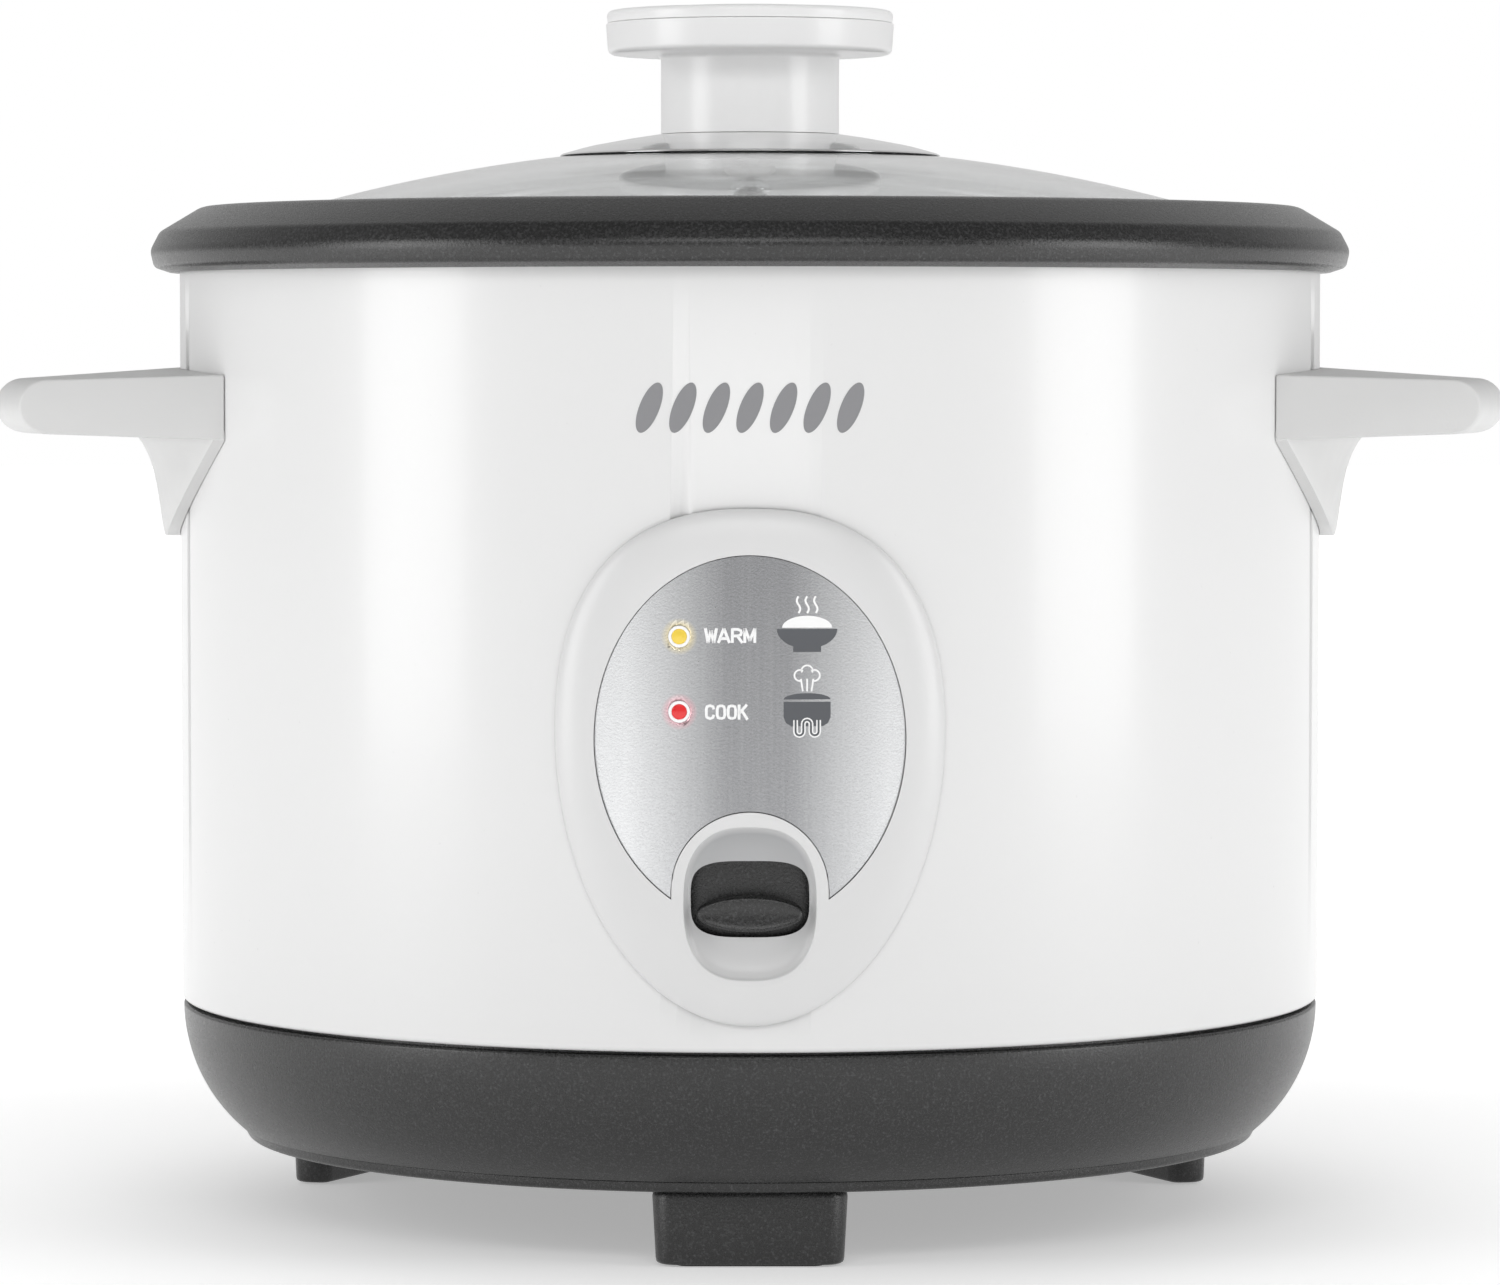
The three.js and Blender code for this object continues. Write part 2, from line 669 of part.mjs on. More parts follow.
function leverArm() {
  const bar = block(-ARM_HALF, ARM_HALF, -123.9, 9, ARM_BOTTOM, ARM_TOP);
  const riser = block(-ARM_HALF, ARM_HALF, -123.9, -121.9, ARM_TOP - 1, 82);
  const hub = rodX(PIVOT.y, PIVOT.z, 4.2, -8.4, 8.4, 16);
  return cut(join(bar, riser, hub), rodX(PIVOT.y, PIVOT.z, PIN_R + GAP, -20, 20, 16));
}

// The dark paddle: a curved shield behind the opening, with the oval finger pad in front.
function leverPaddle() {
  const back = SHIELD_R - 2;
  const slab = turned([[back, 64], [SHIELD_R, 64], [SHIELD_R, 93], [back, 93]], 96);
  const shield = common(slab, block(-15.5, 15.5, -140, -110, 60, 100));
  return join(shield, plug(PAD_OUTLINE, PAD_OUTLINE, -132.6, -SHIELD_R + 0.6, 32));
}

function leverBracket() {
  const [ear, inside, low, high] = [10.4, 8.8, 39.5, WELL_FLOOR - GAP];
  const yoke = shapeOf([
    [-ear, low],
    [-inside, low],
    [-inside, high - 1.5],
    [inside, high - 1.5],
    [inside, low],
    [ear, low],
    [ear, high],
    [-ear, high],
  ]);
  const bracket = new THREE.ExtrudeGeometry(yoke, { depth: 16, bevelEnabled: false });
  bracket.rotateX(Math.PI / 2).translate(0, PIVOT.y + 8, 0);
  return cut(bracket, rodX(PIVOT.y, PIVOT.z, PIN_R + GAP, -20, 20, 16));
}

function switchBody() {
  const body = block(-5, 5, SWITCH_Y - 10, SWITCH_Y + 10, 22, 38);
  const plinth = block(-8, 8, SWITCH_Y - 12, SWITCH_Y + 12, COVER_TOP + GAP, 23);
  return cut(join(body, plinth), rodZ(0, SWITCH_Y, 1.8, 32, 40));
}

function makeLever() {
  add('lever_arm', leverArm(), STEEL);
  add('lever_paddle', leverPaddle(), CHARCOAL);
  add('lever_bracket', leverBracket(), STEEL);
  add('lever_pin', rodX(PIVOT.y, PIVOT.z, PIN_R, -12, 12, 16), STEEL);
  add('switch_body', switchBody(), BLACK);
  add('switch_plunger', rodZ(0, SWITCH_Y, 1.5, 33, ARM_BOTTOM - GAP), WIRE_WHITE);
}

// ---------------------------------------------------------------- power inlet and leads

function inletHousing() {
  const [half, tall] = [15.5, 8.75];
  const shell = block(-half, half, INLET_BACK, INLET_MOUTH, INLET_Z - tall, INLET_Z + tall);
  const socket = block(-13, 13, INLET_BACK + 3, 140, INLET_Z - 6.5, INLET_Z + 6.5);
  const holes = Object.values(PINS).map(([x, z]) => rodY(x, z, 2.3, 100, 120));
  return cut(shell, socket, ...holes);
}

function makeInlet() {
  add('inlet_housing', inletHousing(), BLACK);
  for (const [pole, [x, z, y]] of Object.entries(PINS)) {
    add(`inlet_pin_${pole}`, rodY(x, z, 2.0, y, 126), BRASS);
  }
  const [x, y] = onRing(90 - ELEMENT_TERMINAL_ANGLE, ELEMENT_R);
  const [liveX, liveZ, pinEnd] = PINS.live;
  const wire = 1.5;
  const live = [
    [liveX, pinEnd - GAP, liveZ], [liveX, pinEnd - 3, liveZ],
    [liveX + 2, 96, liveZ - 1.5], [liveX + 4, 84, 27],
    [x + 1.5, 70, 26.5], [x, y, 29], [x, y, 33 - GAP],
  ];
  const neutral = [
    [-liveX, pinEnd - GAP, liveZ], [-liveX, pinEnd - 3, liveZ], [-12, 92, 30], [-24, 60, 30], [-24, 0, 29],
    [-18, -40, 29], [-3, -52, 29], [-2.5, SWITCH_Y + 10 + GAP, 29],
  ];
  const toElement = [
    [2.5, SWITCH_Y + 10 + GAP, 33], [3, -50, 32], [15, -32, 31], [20, 0, 31],
    [12, 36, 32], [-4, 52, 34], [-x, y - 1, 38], [-x, y, 46 - GAP],
  ];
  add('lead_live', tube(live, wire, 18, 6), WIRE_BROWN);
  add('lead_neutral', tube(neutral, wire, 24, 6), WIRE_WHITE);
  add('lead_element', tube(toElement, wire, 22, 6), WIRE_BROWN);
}

// ---------------------------------------------------------------- pot and lid

function innerPot() {
  const corner = 6;
  const inner = POT_R - POT_WALL;
  return turned([
    [0, POT_BOTTOM],
    ...arc(POT_R - corner, POT_BOTTOM + corner, corner, corner, -90, 0, 3),
    [POT_R, POT_TOP - POT_WALL],
    [POT_LIP_R, POT_TOP - POT_WALL],
    [POT_LIP_R, POT_TOP],
    [inner, POT_TOP],
    ...arc(POT_R - corner, POT_BOTTOM + corner, corner - POT_WALL, corner - POT_WALL, 0, -90, 3),
    [0, POT_BOTTOM + POT_WALL],
  ]);
}

const domeZ = (r, below = 0) =>
  GLASS_TOP - GLASS_SPHERE_R + Math.sqrt((GLASS_SPHERE_R - below) ** 2 - r ** 2);

function lidGlass() {
  const radii = [0, 40, 78, GLASS_EDGE_R];
  const outside = radii.map((r) => [r, domeZ(r)]);
  const inside = radii.map((r) => [r, domeZ(r, GLASS_WALL)]).reverse();
  return cut(
    turned([...outside, ...inside]),
    rodZ(0, 0, 3.0, 230, 250),
    rodZ(0, VENT_Y, 3.9, 225, 245)
  );
}

// The pressed steel band that is rolled round the glass and rests on the pot's lip.
function lidRim() {
  const seat = POT_TOP + GAP;
  return turned([
    [110.5, seat],
    [118.2, seat],
    [118.6, seat + 0.6],
    [118.6, 224.2],
    [117.4, 225.3],
    [111.6, 225.9],
    [111.6, domeZ(111.6) + 0.5],
    [GLASS_EDGE_R + 0.4, domeZ(GLASS_EDGE_R) + 0.4],
    [GLASS_EDGE_R + 0.4, seat + 0.8],
    [110.5, seat + 0.8],
  ]);
}

function steamVent() {
  return turned([
    [1.4, 230.6],
    [4.8, 230.6],
    [4.8, 231.5],
    [3.4, 231.5],
    [3.4, 237.5],
    [5.5, 237.5],
    [5.5, 238.2],
    [4.9, 238.7],
    [1.4, 238.7],
  ], SMALL);
}

function knobCollar() {
  const outer = 43.5;
  return turned([
    [3.2, GLASS_TOP + GAP],
    [22, domeZ(22) + GAP + 0.1],
    [outer - 0.5, domeZ(outer - 0.5) + GAP + 0.1],
    [outer, domeZ(outer) + 0.7],
    [38, 240.9],
    [26, 243.1],
    [STEM_R + 0.5, 243.9],
    [3.2, 243.9],
  ], MEDIUM);
}

function knobBody() {
  return turned([
    [0, 258],
    [2.2, 258],
    [2.2, 244.2],
    [STEM_R - 0.3, 244.2],
    [STEM_R, 244.6],
    [STEM_R, 260.8],
    [STEM_R + 1, 261.8],
    [31.3, 262.1],
    [KNOB_R - 0.3, 263.4],
    [KNOB_R, 266.2],
    [KNOB_R, 268.6],
    [32.4, 269.0],
    [0, 269.0],
  ], MEDIUM);
}

function knobCap() {
  return turned([
    [0, 269.3],
    [32.1, 269.3],
    [KNOB_R - 0.1, 269.8],
    [32.2, 271.0],
    [30, 271.9],
    [20, 272.6],
    [0, KNOB_TOP],
  ], MEDIUM);
}

function makePotAndLid() {
  add('inner_pot', innerPot(), ALUMINIUM);
  add('lid_glass', lidGlass(), GLASS);
  add('lid_rim', lidRim(), STEEL);
  add('steam_vent', steamVent(), STEEL).position.set(0, VENT_Y, 0);
  add('knob_collar', knobCollar(), STEEL);
  add('knob_body', knobBody(), WHITE_GLOSS);
  add('knob_cap', knobCap(), WHITE_GLOSS);
  add('knob_screw', screw(6, 2.4, 1.9, 20), STEEL).position.set(0, 0, 235.3);
}

makeBase();
makeHandles();
makePanel();
makeHeater();
makeThermostat();
makeLever();
makeInlet();
makePotAndLid();

export default cooker;
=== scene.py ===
import json
import math

import bmesh
import bpy
from mathutils import Matrix, Vector


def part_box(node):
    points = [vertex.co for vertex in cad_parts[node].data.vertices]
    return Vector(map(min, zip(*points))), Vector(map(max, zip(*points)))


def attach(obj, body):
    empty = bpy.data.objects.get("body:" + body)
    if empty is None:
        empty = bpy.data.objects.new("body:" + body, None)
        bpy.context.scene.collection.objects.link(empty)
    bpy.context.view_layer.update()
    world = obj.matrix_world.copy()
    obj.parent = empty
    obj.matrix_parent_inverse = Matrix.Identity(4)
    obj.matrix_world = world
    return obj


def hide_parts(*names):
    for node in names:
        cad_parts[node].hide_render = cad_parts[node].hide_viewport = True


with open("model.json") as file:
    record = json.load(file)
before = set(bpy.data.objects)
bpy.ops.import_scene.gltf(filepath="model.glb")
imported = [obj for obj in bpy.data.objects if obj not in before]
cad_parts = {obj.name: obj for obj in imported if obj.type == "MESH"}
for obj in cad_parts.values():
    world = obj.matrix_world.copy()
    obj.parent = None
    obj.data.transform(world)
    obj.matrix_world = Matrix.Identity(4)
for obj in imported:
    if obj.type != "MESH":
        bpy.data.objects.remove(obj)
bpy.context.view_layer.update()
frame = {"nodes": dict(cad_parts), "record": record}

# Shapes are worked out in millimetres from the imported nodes' boxes and made in metres.
MM = 0.001
AROUND = 192  # segments of a large turned piece
FINE = 96  # segments of a knob or collar
TINY = 40  # segments of a screw or pin

SIDES = (("right", 1), ("left", -1))
POSTS = ("right", "rear", "left")
FRONTWARD = Matrix.Rotation(math.pi / 2, 4, "X")  # turns +Z towards the front
REARWARD = Matrix.Rotation(-math.pi / 2, 4, "X")


# ------------------------------------------------------------------ sizes from the frame

def low(node):
    """Lowest corner of a CAD node, in millimetres."""
    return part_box(node)[0] / MM


def high(node):
    """Highest corner of a CAD node, in millimetres."""
    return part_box(node)[1] / MM


def middle(node):
    return (low(node) + high(node)) / 2


BODY_R = high("outer_shell").x
BODY_BOTTOM = low("outer_shell").z
BODY_TOP = high("outer_shell").z
RING_R = high("top_ring").y
RING_TOP = high("top_ring").z
RING_SEAT = high("inner_shell").z + 0.4
MOUTH_R = 119.7  # the top ring's opening
TUB_R = high("base_tub").x
TUB_TOP = BODY_BOTTOM - 0.7
TUB_LIP_R = 126.6  # the lip that stands inside the body shell
COVER_R = high("bottom_cover").x
COVER_BOTTOM = low("bottom_cover").z
COVER_TOP = high("bottom_cover").z
POT_TOP = high("inner_pot").z
POT_BOTTOM = low("inner_pot").z
POT_LIP_R = high("inner_pot").x
POT_R = 112.4
GLASS_TOP = 241.3
GLASS_R = 375.0  # the dome is a cap of this sphere
GLASS_EDGE = high("lid_glass").x
GLASS_WALL = 3.0
COLLAR_R = high("knob_collar").x
COLLAR_TOP = high("knob_collar").z
KNOB_R = high("knob_body").x
KNOB_TOP = high("knob_cap").z
STEM_R = 20.3
BEZEL_R = 133.4
FASCIA_R = 132.6
LAMP_X = middle("lamp_lens_warm").x
LAMP_Z = {"warm": middle("lamp_lens_warm").z, "cook": middle("lamp_lens_cook").z}
LENS_R = 1.6
LAMP_RING_R = 2.3
LAMP_HOLE_R = 2.35
ELEMENT_R = 65  # the heating element's ring
TERMINALS = 8  # degrees from the rear to each end of the element
TERMINAL_HOLE_R = 4.8

# Screws, and the holes that clear them.
BASE_SCREW = dict(head=3.6, head_height=1.9, shaft=1.5, length=15)
HANDLE_SCREW = dict(head=3, head_height=1.9, shaft=1.5, length=20)
KNOB_SCREW = dict(head=6, head_height=2.4, shaft=1.9, length=20)
BASE_SCREW_Z = 14.3
BASE_HOLE_R = 1.9
HANDLE_SCREW_X = 121
SHELL_HOLE_R = 2.0
HANDLE_HOLE_R = 1.8

# Outlines on the front: centre height, half width, reach above and below it, and how square
# each half is (2 is an ellipse).
BEZEL = dict(z=115.0, half=40.9, up=47.0, down=61.2, square_up=2.4, square_down=2.0)
FASCIA = dict(z=113.8, half=32.5, up=38.4, down=38.4, square_up=2.0, square_down=2.0)
NOTCH = dict(z=82.2, half=16.6, up=16.7)
SCOOP = dict(z=79.6, half=13.8, up=15.9, down=15.9, square_up=2.6, square_down=2.6)
MOUTH = dict(z=80.4, half=12.4, up=8.0, down=8.0, square_up=3.6, square_down=3.6)
PAD = dict(z=77.3, half=11.0, up=3.65, down=3.65, square_up=2.0, square_down=2.0)

HANDLE_REACH = high("handle_right").x
HANDLE_SPAN = high("handle_right").y
NOSE_BOTTOM = 176.5
NOSE_TOP = 188.6
HANDLE_UNDER = 175.2
GUSSET_BOTTOM = low("handle_right").z


# ------------------------------------------------------------------ mesh helpers

def finish_mesh(name, bm, smooth_angle=32):
    """An object from a bmesh held in millimetres, smooth apart from its sharp edges."""
    bmesh.ops.remove_doubles(bm, verts=bm.verts, dist=1e-4)
    bmesh.ops.recalc_face_normals(bm, faces=bm.faces)
    bmesh.ops.scale(bm, vec=(MM, MM, MM), verts=bm.verts)
    mesh = bpy.data.meshes.new(name)
    bm.to_mesh(mesh)
    bm.free()
    smoothed(mesh, smooth_angle)
    obj = bpy.data.objects.new(name, mesh)
    bpy.context.scene.collection.objects.link(obj)
    return obj


def rings_bmesh(rings, around=True, caps=True):
    """Quads between rings of points; a ring of one point is a pole."""
    bm = bmesh.new()
    made = [[bm.verts.new(p) for p in ring] for ring in rings]
    for a, b in zip(made, made[1:]):
        count = max(len(a), len(b))
        last = count if around else count - 1
        for i in range(last):
            j = (i + 1) % count
            corners = [a[i % len(a)], a[j % len(a)], b[j % len(b)], b[i % len(b)]]
            unique = list(dict.fromkeys(corners))
            if len(unique) > 2:
                bm.faces.new(unique)
    if caps:
        for ring in (made[0], made[-1]):
            if len(ring) > 2:
                bm.faces.new(ring)
    return bm


def rounded(corners, closed):
    """A profile with its corners (r, z, radius) turned into arcs."""
    points = []
    count = len(corners)
    for i, corner in enumerate(corners):
        here = Vector(corner[:2])
        radius = corner[2] if len(corner) > 2 else 0
        if radius == 0 or (not closed and i in (0, count - 1)):
            points.append(here)
            continue
        to_last = Vector(corners[i - 1][:2]) - here
        to_next = Vector(corners[(i + 1) % count][:2]) - here
        half = to_last.angle(to_next) / 2
        back = min(radius / math.tan(half), 0.49 * to_last.length, 0.49 * to_next.length)
        radius = back * math.tan(half)
        bisector = (to_last.normalized() + to_next.normalized()).normalized()
        centre = here + bisector * (radius / math.sin(half))
        start = here + to_last.normalized() * back - centre
        end = here + to_next.normalized() * back - centre
        turn = start.angle_signed(end)
        steps = max(3, math.ceil(abs(turn) / math.radians(11)))
        for k in range(steps + 1):
            points.append(centre + Matrix.Rotation(-turn * k / steps, 2) @ start)
    return points


def turned(name, corners, closed=True, segments=AROUND, smooth_angle=32):
    """A lathe about Z. An open profile starts and ends on the axis."""
    return finish_mesh(name, turned_bmesh(corners, closed, segments), smooth_angle)


def turned_bmesh(corners, closed=True, segments=AROUND):
    profile = rounded(corners, closed)
    rings = []
    for r, z in profile:
        if r < 1e-6:
            rings.append([(0, 0, z)])
            continue
        steps = [2 * math.pi * i / segments for i in range(segments)]
        rings.append([(r * math.sin(a), -r * math.cos(a), z) for a in steps])
    if closed:
        rings.append(rings[0])
    return rings_bmesh(rings, caps=False)


def outline_point(outline, angle, grow=0.0):
    c, s = math.cos(angle), math.sin(angle)
    above = s > 0
    reach = outline["up" if above else "down"] + grow
    square = outline["square_up" if above else "square_down"]
    x = math.copysign(abs(c) ** (2 / square), c) * (outline["half"] + grow)
    z = math.copysign(abs(s) ** (2 / square), s) * reach
    return x, outline["z"] + z


def on_body(x, z, r):
    """The point on the front of the cylinder of radius r with that X and Z."""
    return (x, -math.sqrt(r * r - x * x), z)


def rounded_ring(half_x, half_y, radius, count=10):
    """Points round a rectangle with round corners."""
    points = []
    for quarter, (sx, sy) in enumerate(((1, 1), (-1, 1), (-1, -1), (1, -1))):
        for k in range(count + 1):
            a = math.pi / 2 * (quarter + k / count)
            x = sx * (half_x - radius) + radius * math.cos(a)
            y = sy * (half_y - radius) + radius * math.sin(a)
            points.append((x, y))
    return points


def rounded_block(name, half_x, half_z, radius, y0, y1, z):
    rings = [[(x, y, z + h) for x, h in rounded_ring(half_x, half_z, radius)] for y in (y0, y1)]
    return finish_mesh(name, rings_bmesh(rings))


def bent_slab(name, columns, front_r, back_r, smooth_angle):
    """A slab between two cylinders about Z, from columns of (x, z)."""
    rows = len(columns[0]) - 1
    bm = bmesh.new()
    sheets = []
    for radius in (front_r, back_r):
        grid = [[bm.verts.new(on_body(x, z, radius)) for x, z in column] for column in columns]
        sheets.append(grid)
        for a, b in zip(grid, grid[1:]):
            for j in range(rows):
                bm.faces.new((a[j], a[j + 1], b[j + 1], b[j]))
    front, back = sheets
    for i in range(len(columns) - 1):
        for j in (0, rows):
            bm.faces.new((front[i][j], front[i + 1][j], back[i + 1][j], back[i][j]))
    for i in (0, len(columns) - 1):
        for j in range(rows):
            bm.faces.new((front[i][j], front[i][j + 1], back[i][j + 1], back[i][j]))
    return finish_mesh(name, bm, smooth_angle)


def moved(obj, x=0.0, y=0.0, z=0.0, turn=None):
    """Bakes a turn and then a shift, in millimetres, into a piece's mesh."""
    shift = Matrix.Translation((x * MM, y * MM, z * MM))
    obj.data.transform(shift @ turn if turn else shift)
    return obj


def sideways(sign):
    """A turn of +Z towards the right for 1, or the left for -1."""
    return Matrix.Rotation(sign * math.pi / 2, 4, "Y")


def smoothed(mesh, angle):
    """Shades a mesh smooth apart from the edges sharper than an angle in degrees."""
    mesh.shade_smooth()
    mesh.set_sharp_from_angle(angle=math.radians(angle))


def applied(obj):
    """Bakes an object's modifiers into its mesh."""
    bpy.context.view_layer.update()
    graph = bpy.context.evaluated_depsgraph_get()
    mesh = bpy.data.meshes.new_from_object(obj.evaluated_get(graph))
    obj.modifiers.clear()
    obj.data = mesh
    return obj


def boolean(obj, cutter, operation="DIFFERENCE"):
    """Cuts or joins with another object, which is then removed."""
    modifier = obj.modifiers.new("boolean", "BOOLEAN")
    modifier.operation = operation
    modifier.solver = "EXACT"
    modifier.object = cutter
    applied(obj)
    bpy.data.objects.remove(cutter)
    return obj


def drill(obj, radius, start, end, at, turn=None):
    """Cuts a round hole along the axis that turn gives, from start to end, through the point at."""
    section = [(0, start), (radius, start), (radius, end), (0, end)]
    rod = turned("drill", section, closed=False, segments=TINY)
    return boolean(obj, moved(rod, *at, turn))


def drill_for_handle_screws(obj, radius, end, side, sign):
    """The two holes behind one handle, from inside the shell out to x = end."""
    for where in ("front", "rear"):
        at = middle("handle_screw_%s_%s" % (side, where))
        drill(obj, radius, 110, end, (0, at.y, at.z), sideways(sign))


def drill_for_base_screws(obj):
    """The three upright holes that the base screws pass through."""
    for where in POSTS:
        at = middle("base_screw_" + where)
        drill(obj, BASE_HOLE_R, 15, 25, (at.x, at.y, 0))


def softened(obj, width, angle=40, segments=3):
    """Rounds the sharp edges with a small bevel, applied."""
    modifier = obj.modifiers.new("bevel", "BEVEL")
    modifier.width = width * MM
    modifier.segments = segments
    modifier.limit_method = "ANGLE"
    modifier.angle_limit = math.radians(angle)
    modifier.harden_normals = False
    smoothed(applied(obj).data, 32)
    return obj


def place(obj, slot, body, *nodes, look=None):
    """Gives a piece its slot, body and material, and hides the CAD nodes it stands for.

    look names the material where it isn't the slot's own; ink has a look and no slot.
    """
    obj.data.materials.clear()
    obj.data.materials.append(MATERIALS[look or slot])
    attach(obj, body)
    if nodes:
        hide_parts(*nodes)
    return obj


# ------------------------------------------------------------------ material helpers

class Shader:
    """A Principled material with short helpers for its procedural nodes."""

    def __init__(self, name, **sockets):
        self.material = bpy.data.materials.new(name)
        self.material.use_nodes = True
        self.tree = self.material.node_tree
        self.principled = self.tree.nodes["Principled BSDF"]
        for socket, value in sockets.items():
            self.principled.inputs[socket.replace("_", " ")].default_value = value
        self.coordinates = self.tree.nodes.new("ShaderNodeTexCoord").outputs["Object"]

    def feed(self, socket, value):
        """Links a socket to another node's output, or sets it to a plain value."""
        if isinstance(value, bpy.types.NodeSocket):
            self.tree.links.new(value, socket)
        else:
            socket.default_value = value

    def node(self, kind, **inputs):
        made = self.tree.nodes.new(kind)
        for name, value in inputs.items():
            self.feed(made.inputs[name.replace("_", " ")], value)
        return made

    def maths(self, operation, *values, kind="ShaderNodeMath"):
        made = self.tree.nodes.new(kind)
        made.operation = operation
        for socket, value in zip(made.inputs, values):
            self.feed(socket, value)
        return made.outputs["Value"]

    def stretched(self, scale):
        return self.node("ShaderNodeMapping", Vector=self.coordinates, Scale=scale).outputs[0]

    def noise(self, scale, detail=2.0, vector=None, roughness=0.5):
        vector = vector or self.coordinates
        made = self.node("ShaderNodeTexNoise", Vector=vector, Scale=scale, Detail=detail)
        made.inputs["Roughness"].default_value = roughness
        return made.outputs["Fac"]

    def ranged(self, value, low_in, high_in, low_out, high_out):
        made = self.node("ShaderNodeMapRange", Value=value)
        for name, number in zip(("From Min", "From Max", "To Min", "To Max"),
                                (low_in, high_in, low_out, high_out)):
            made.inputs[name].default_value = number
        return made.outputs[0]

    def mixed(self, factor, a, b):
        made = self.tree.nodes.new("ShaderNodeMix")
        made.data_type = "RGBA"
        for socket, value in ((made.inputs[0], factor), (made.inputs[6], a), (made.inputs[7], b)):
            self.feed(socket, value)
        return made.outputs[2]

    def set(self, socket, value):
        self.tree.links.new(value, self.principled.inputs[socket])
        return self

    def bump(self, height, strength, distance):
        made = self.node("ShaderNodeBump", Height=height, Strength=strength, Distance=distance)
        return self.set("Normal", made.outputs[0])


def shade(value, tint=(1, 1, 1)):
    return (value * tint[0], value * tint[1], value * tint[2], 1)


def varied(shader, value, spread, scale, tint=(1, 1, 1)):
    """A colour that drifts a little either side of value."""
    drift = shader.ranged(shader.noise(scale, 3), 0.3, 0.7, 0, 1)
    colour = shader.mixed(drift, shade(value - spread, tint), shade(value + spread, tint))
    return shader.set("Base Color", colour)


def enamel():
    s = Shader("white_enamel", Coat_Weight=0.3, Coat_Roughness=0.12, Specular_IOR_Level=0.5)
    varied(s, 0.75, 0.0015, 900, (1.0, 1.0, 0.998))
    s.set("Roughness", s.ranged(s.noise(900, 2), 0, 1, 0.273, 0.277))
    return s.material


def gloss_white(name, value, roughness, peel):
    s = Shader(name, Coat_Weight=0.2, Coat_Roughness=0.15)
    varied(s, value, 0.002, 20)
    # A faint white glow, painted light that lifts the knob's shaded underside; the lamp rings carry it too.
    s.principled.inputs["Emission Color"].default_value = (1, 1, 1, 1)
    s.principled.inputs["Emission Strength"].default_value = 0.03
    s.set("Roughness", s.ranged(s.noise(30, 2), 0.3, 0.7, roughness - 0.01, roughness + 0.01))
    return s.bump(s.noise(700, 2), peel, 0.0002).material


def bezel_plastic():
    """Soft-gloss white; the scoop is painted darker, most towards its top, as painted shade inside the
    recess.
    """
    s = Shader("bezel_plastic", Coat_Weight=0.15, Coat_Roughness=0.2)
    split = s.node("ShaderNodeSeparateXYZ", Vector=s.coordinates)

    def share(coordinate, centre, half):
        away = s.maths("ABSOLUTE", s.maths("SUBTRACT", coordinate, centre * MM))
        return s.maths("POWER", s.maths("DIVIDE", away, half * MM), SCOOP["square_up"])

    # Painted shade in the scoop: darkest at its top edge and lighter towards the bottom.
    across = share(split.outputs[0], 0, SCOOP["half"])
    upright = share(split.outputs[2], SCOOP["z"], SCOOP["up"])
    outside = s.ranged(s.maths("ADD", across, upright), 0.8, 1.0, 0, 1)
    top, bottom = SCOOP["z"] + SCOOP["up"], SCOOP["z"] - SCOOP["down"]
    floor = s.ranged(split.outputs[2], bottom * MM, top * MM, 0, 1)
    scoop = s.mixed(floor, shade(0.62), shade(0.36, (1, 1.01, 1.03)))
    drift = s.ranged(s.noise(60, 3), 0.3, 0.7, 0, 1)
    face = s.mixed(drift, shade(0.685), shade(0.692))
    s.set("Base Color", s.mixed(outside, scoop, face))
    s.set("Roughness", s.ranged(s.noise(40, 2), 0.3, 0.7, 0.33, 0.35))
    return s.bump(s.noise(80, 1), 0.01, 0.0002).material


def handle_plastic():
    s = Shader("handle_plastic", Specular_IOR_Level=0.4)
    varied(s, 0.64, 0.006, 30, (1.0, 1.0, 0.995))
    s.set("Roughness", s.ranged(s.noise(180, 3), 0.3, 0.7, 0.42, 0.52))
    return s.bump(s.noise(1500, 3), 0.12, 0.0002).material


def charcoal():
    """Dark moulded plastic with the fine bright speckle of a spark-eroded grain."""
    value, speckle = 0.004, 0.09
    s = Shader("charcoal_plastic", Specular_IOR_Level=0.7)
    grain = s.noise(1700, 3, roughness=0.7)
    flecks = s.ranged(grain, 0.52, 0.72, 0, 1)
    base = s.mixed(s.ranged(s.noise(40, 3), 0.3, 0.7, 0, 1), shade(value * 0.9), shade(value * 1.15))
    s.set("Base Color", s.mixed(flecks, base, shade(speckle, (1, 1, 1.02))))
    s.set("Metallic", s.ranged(flecks, 0, 1, 0, 0.7))
    s.set("Roughness", s.ranged(grain, 0.35, 0.65, 0.24, 0.34))
    return s.bump(grain, 0.3, 0.0003).material


def rubber():
    s = Shader("rubber", Specular_IOR_Level=0.3)
    varied(s, 0.03, 0.006, 60)
    s.set("Roughness", s.ranged(s.noise(300, 3), 0.3, 0.7, 0.75, 0.9))
    return s.bump(s.noise(900, 3), 0.3, 0.0003).material


def metal(name, value, roughness, streak=None, tint=(1, 1, 1), strength=0.15):
    """Bare metal; streak is the scale of its brushing along each axis."""
    s = Shader(name, Metallic=1.0)
    vector = s.stretched(streak) if streak else s.coordinates
    lines = s.noise(1.0 if streak else 500, 4, vector, 0.6)
    tone = s.mixed(s.ranged(lines, 0.3, 0.7, 0, 1), shade(value * 0.93, tint), shade(value, tint))
    s.set("Base Color", tone)
    s.set("Roughness", s.ranged(lines, 0.3, 0.7, roughness - 0.05, roughness + 0.07))
    return s.bump(lines, strength, 0.00015).material


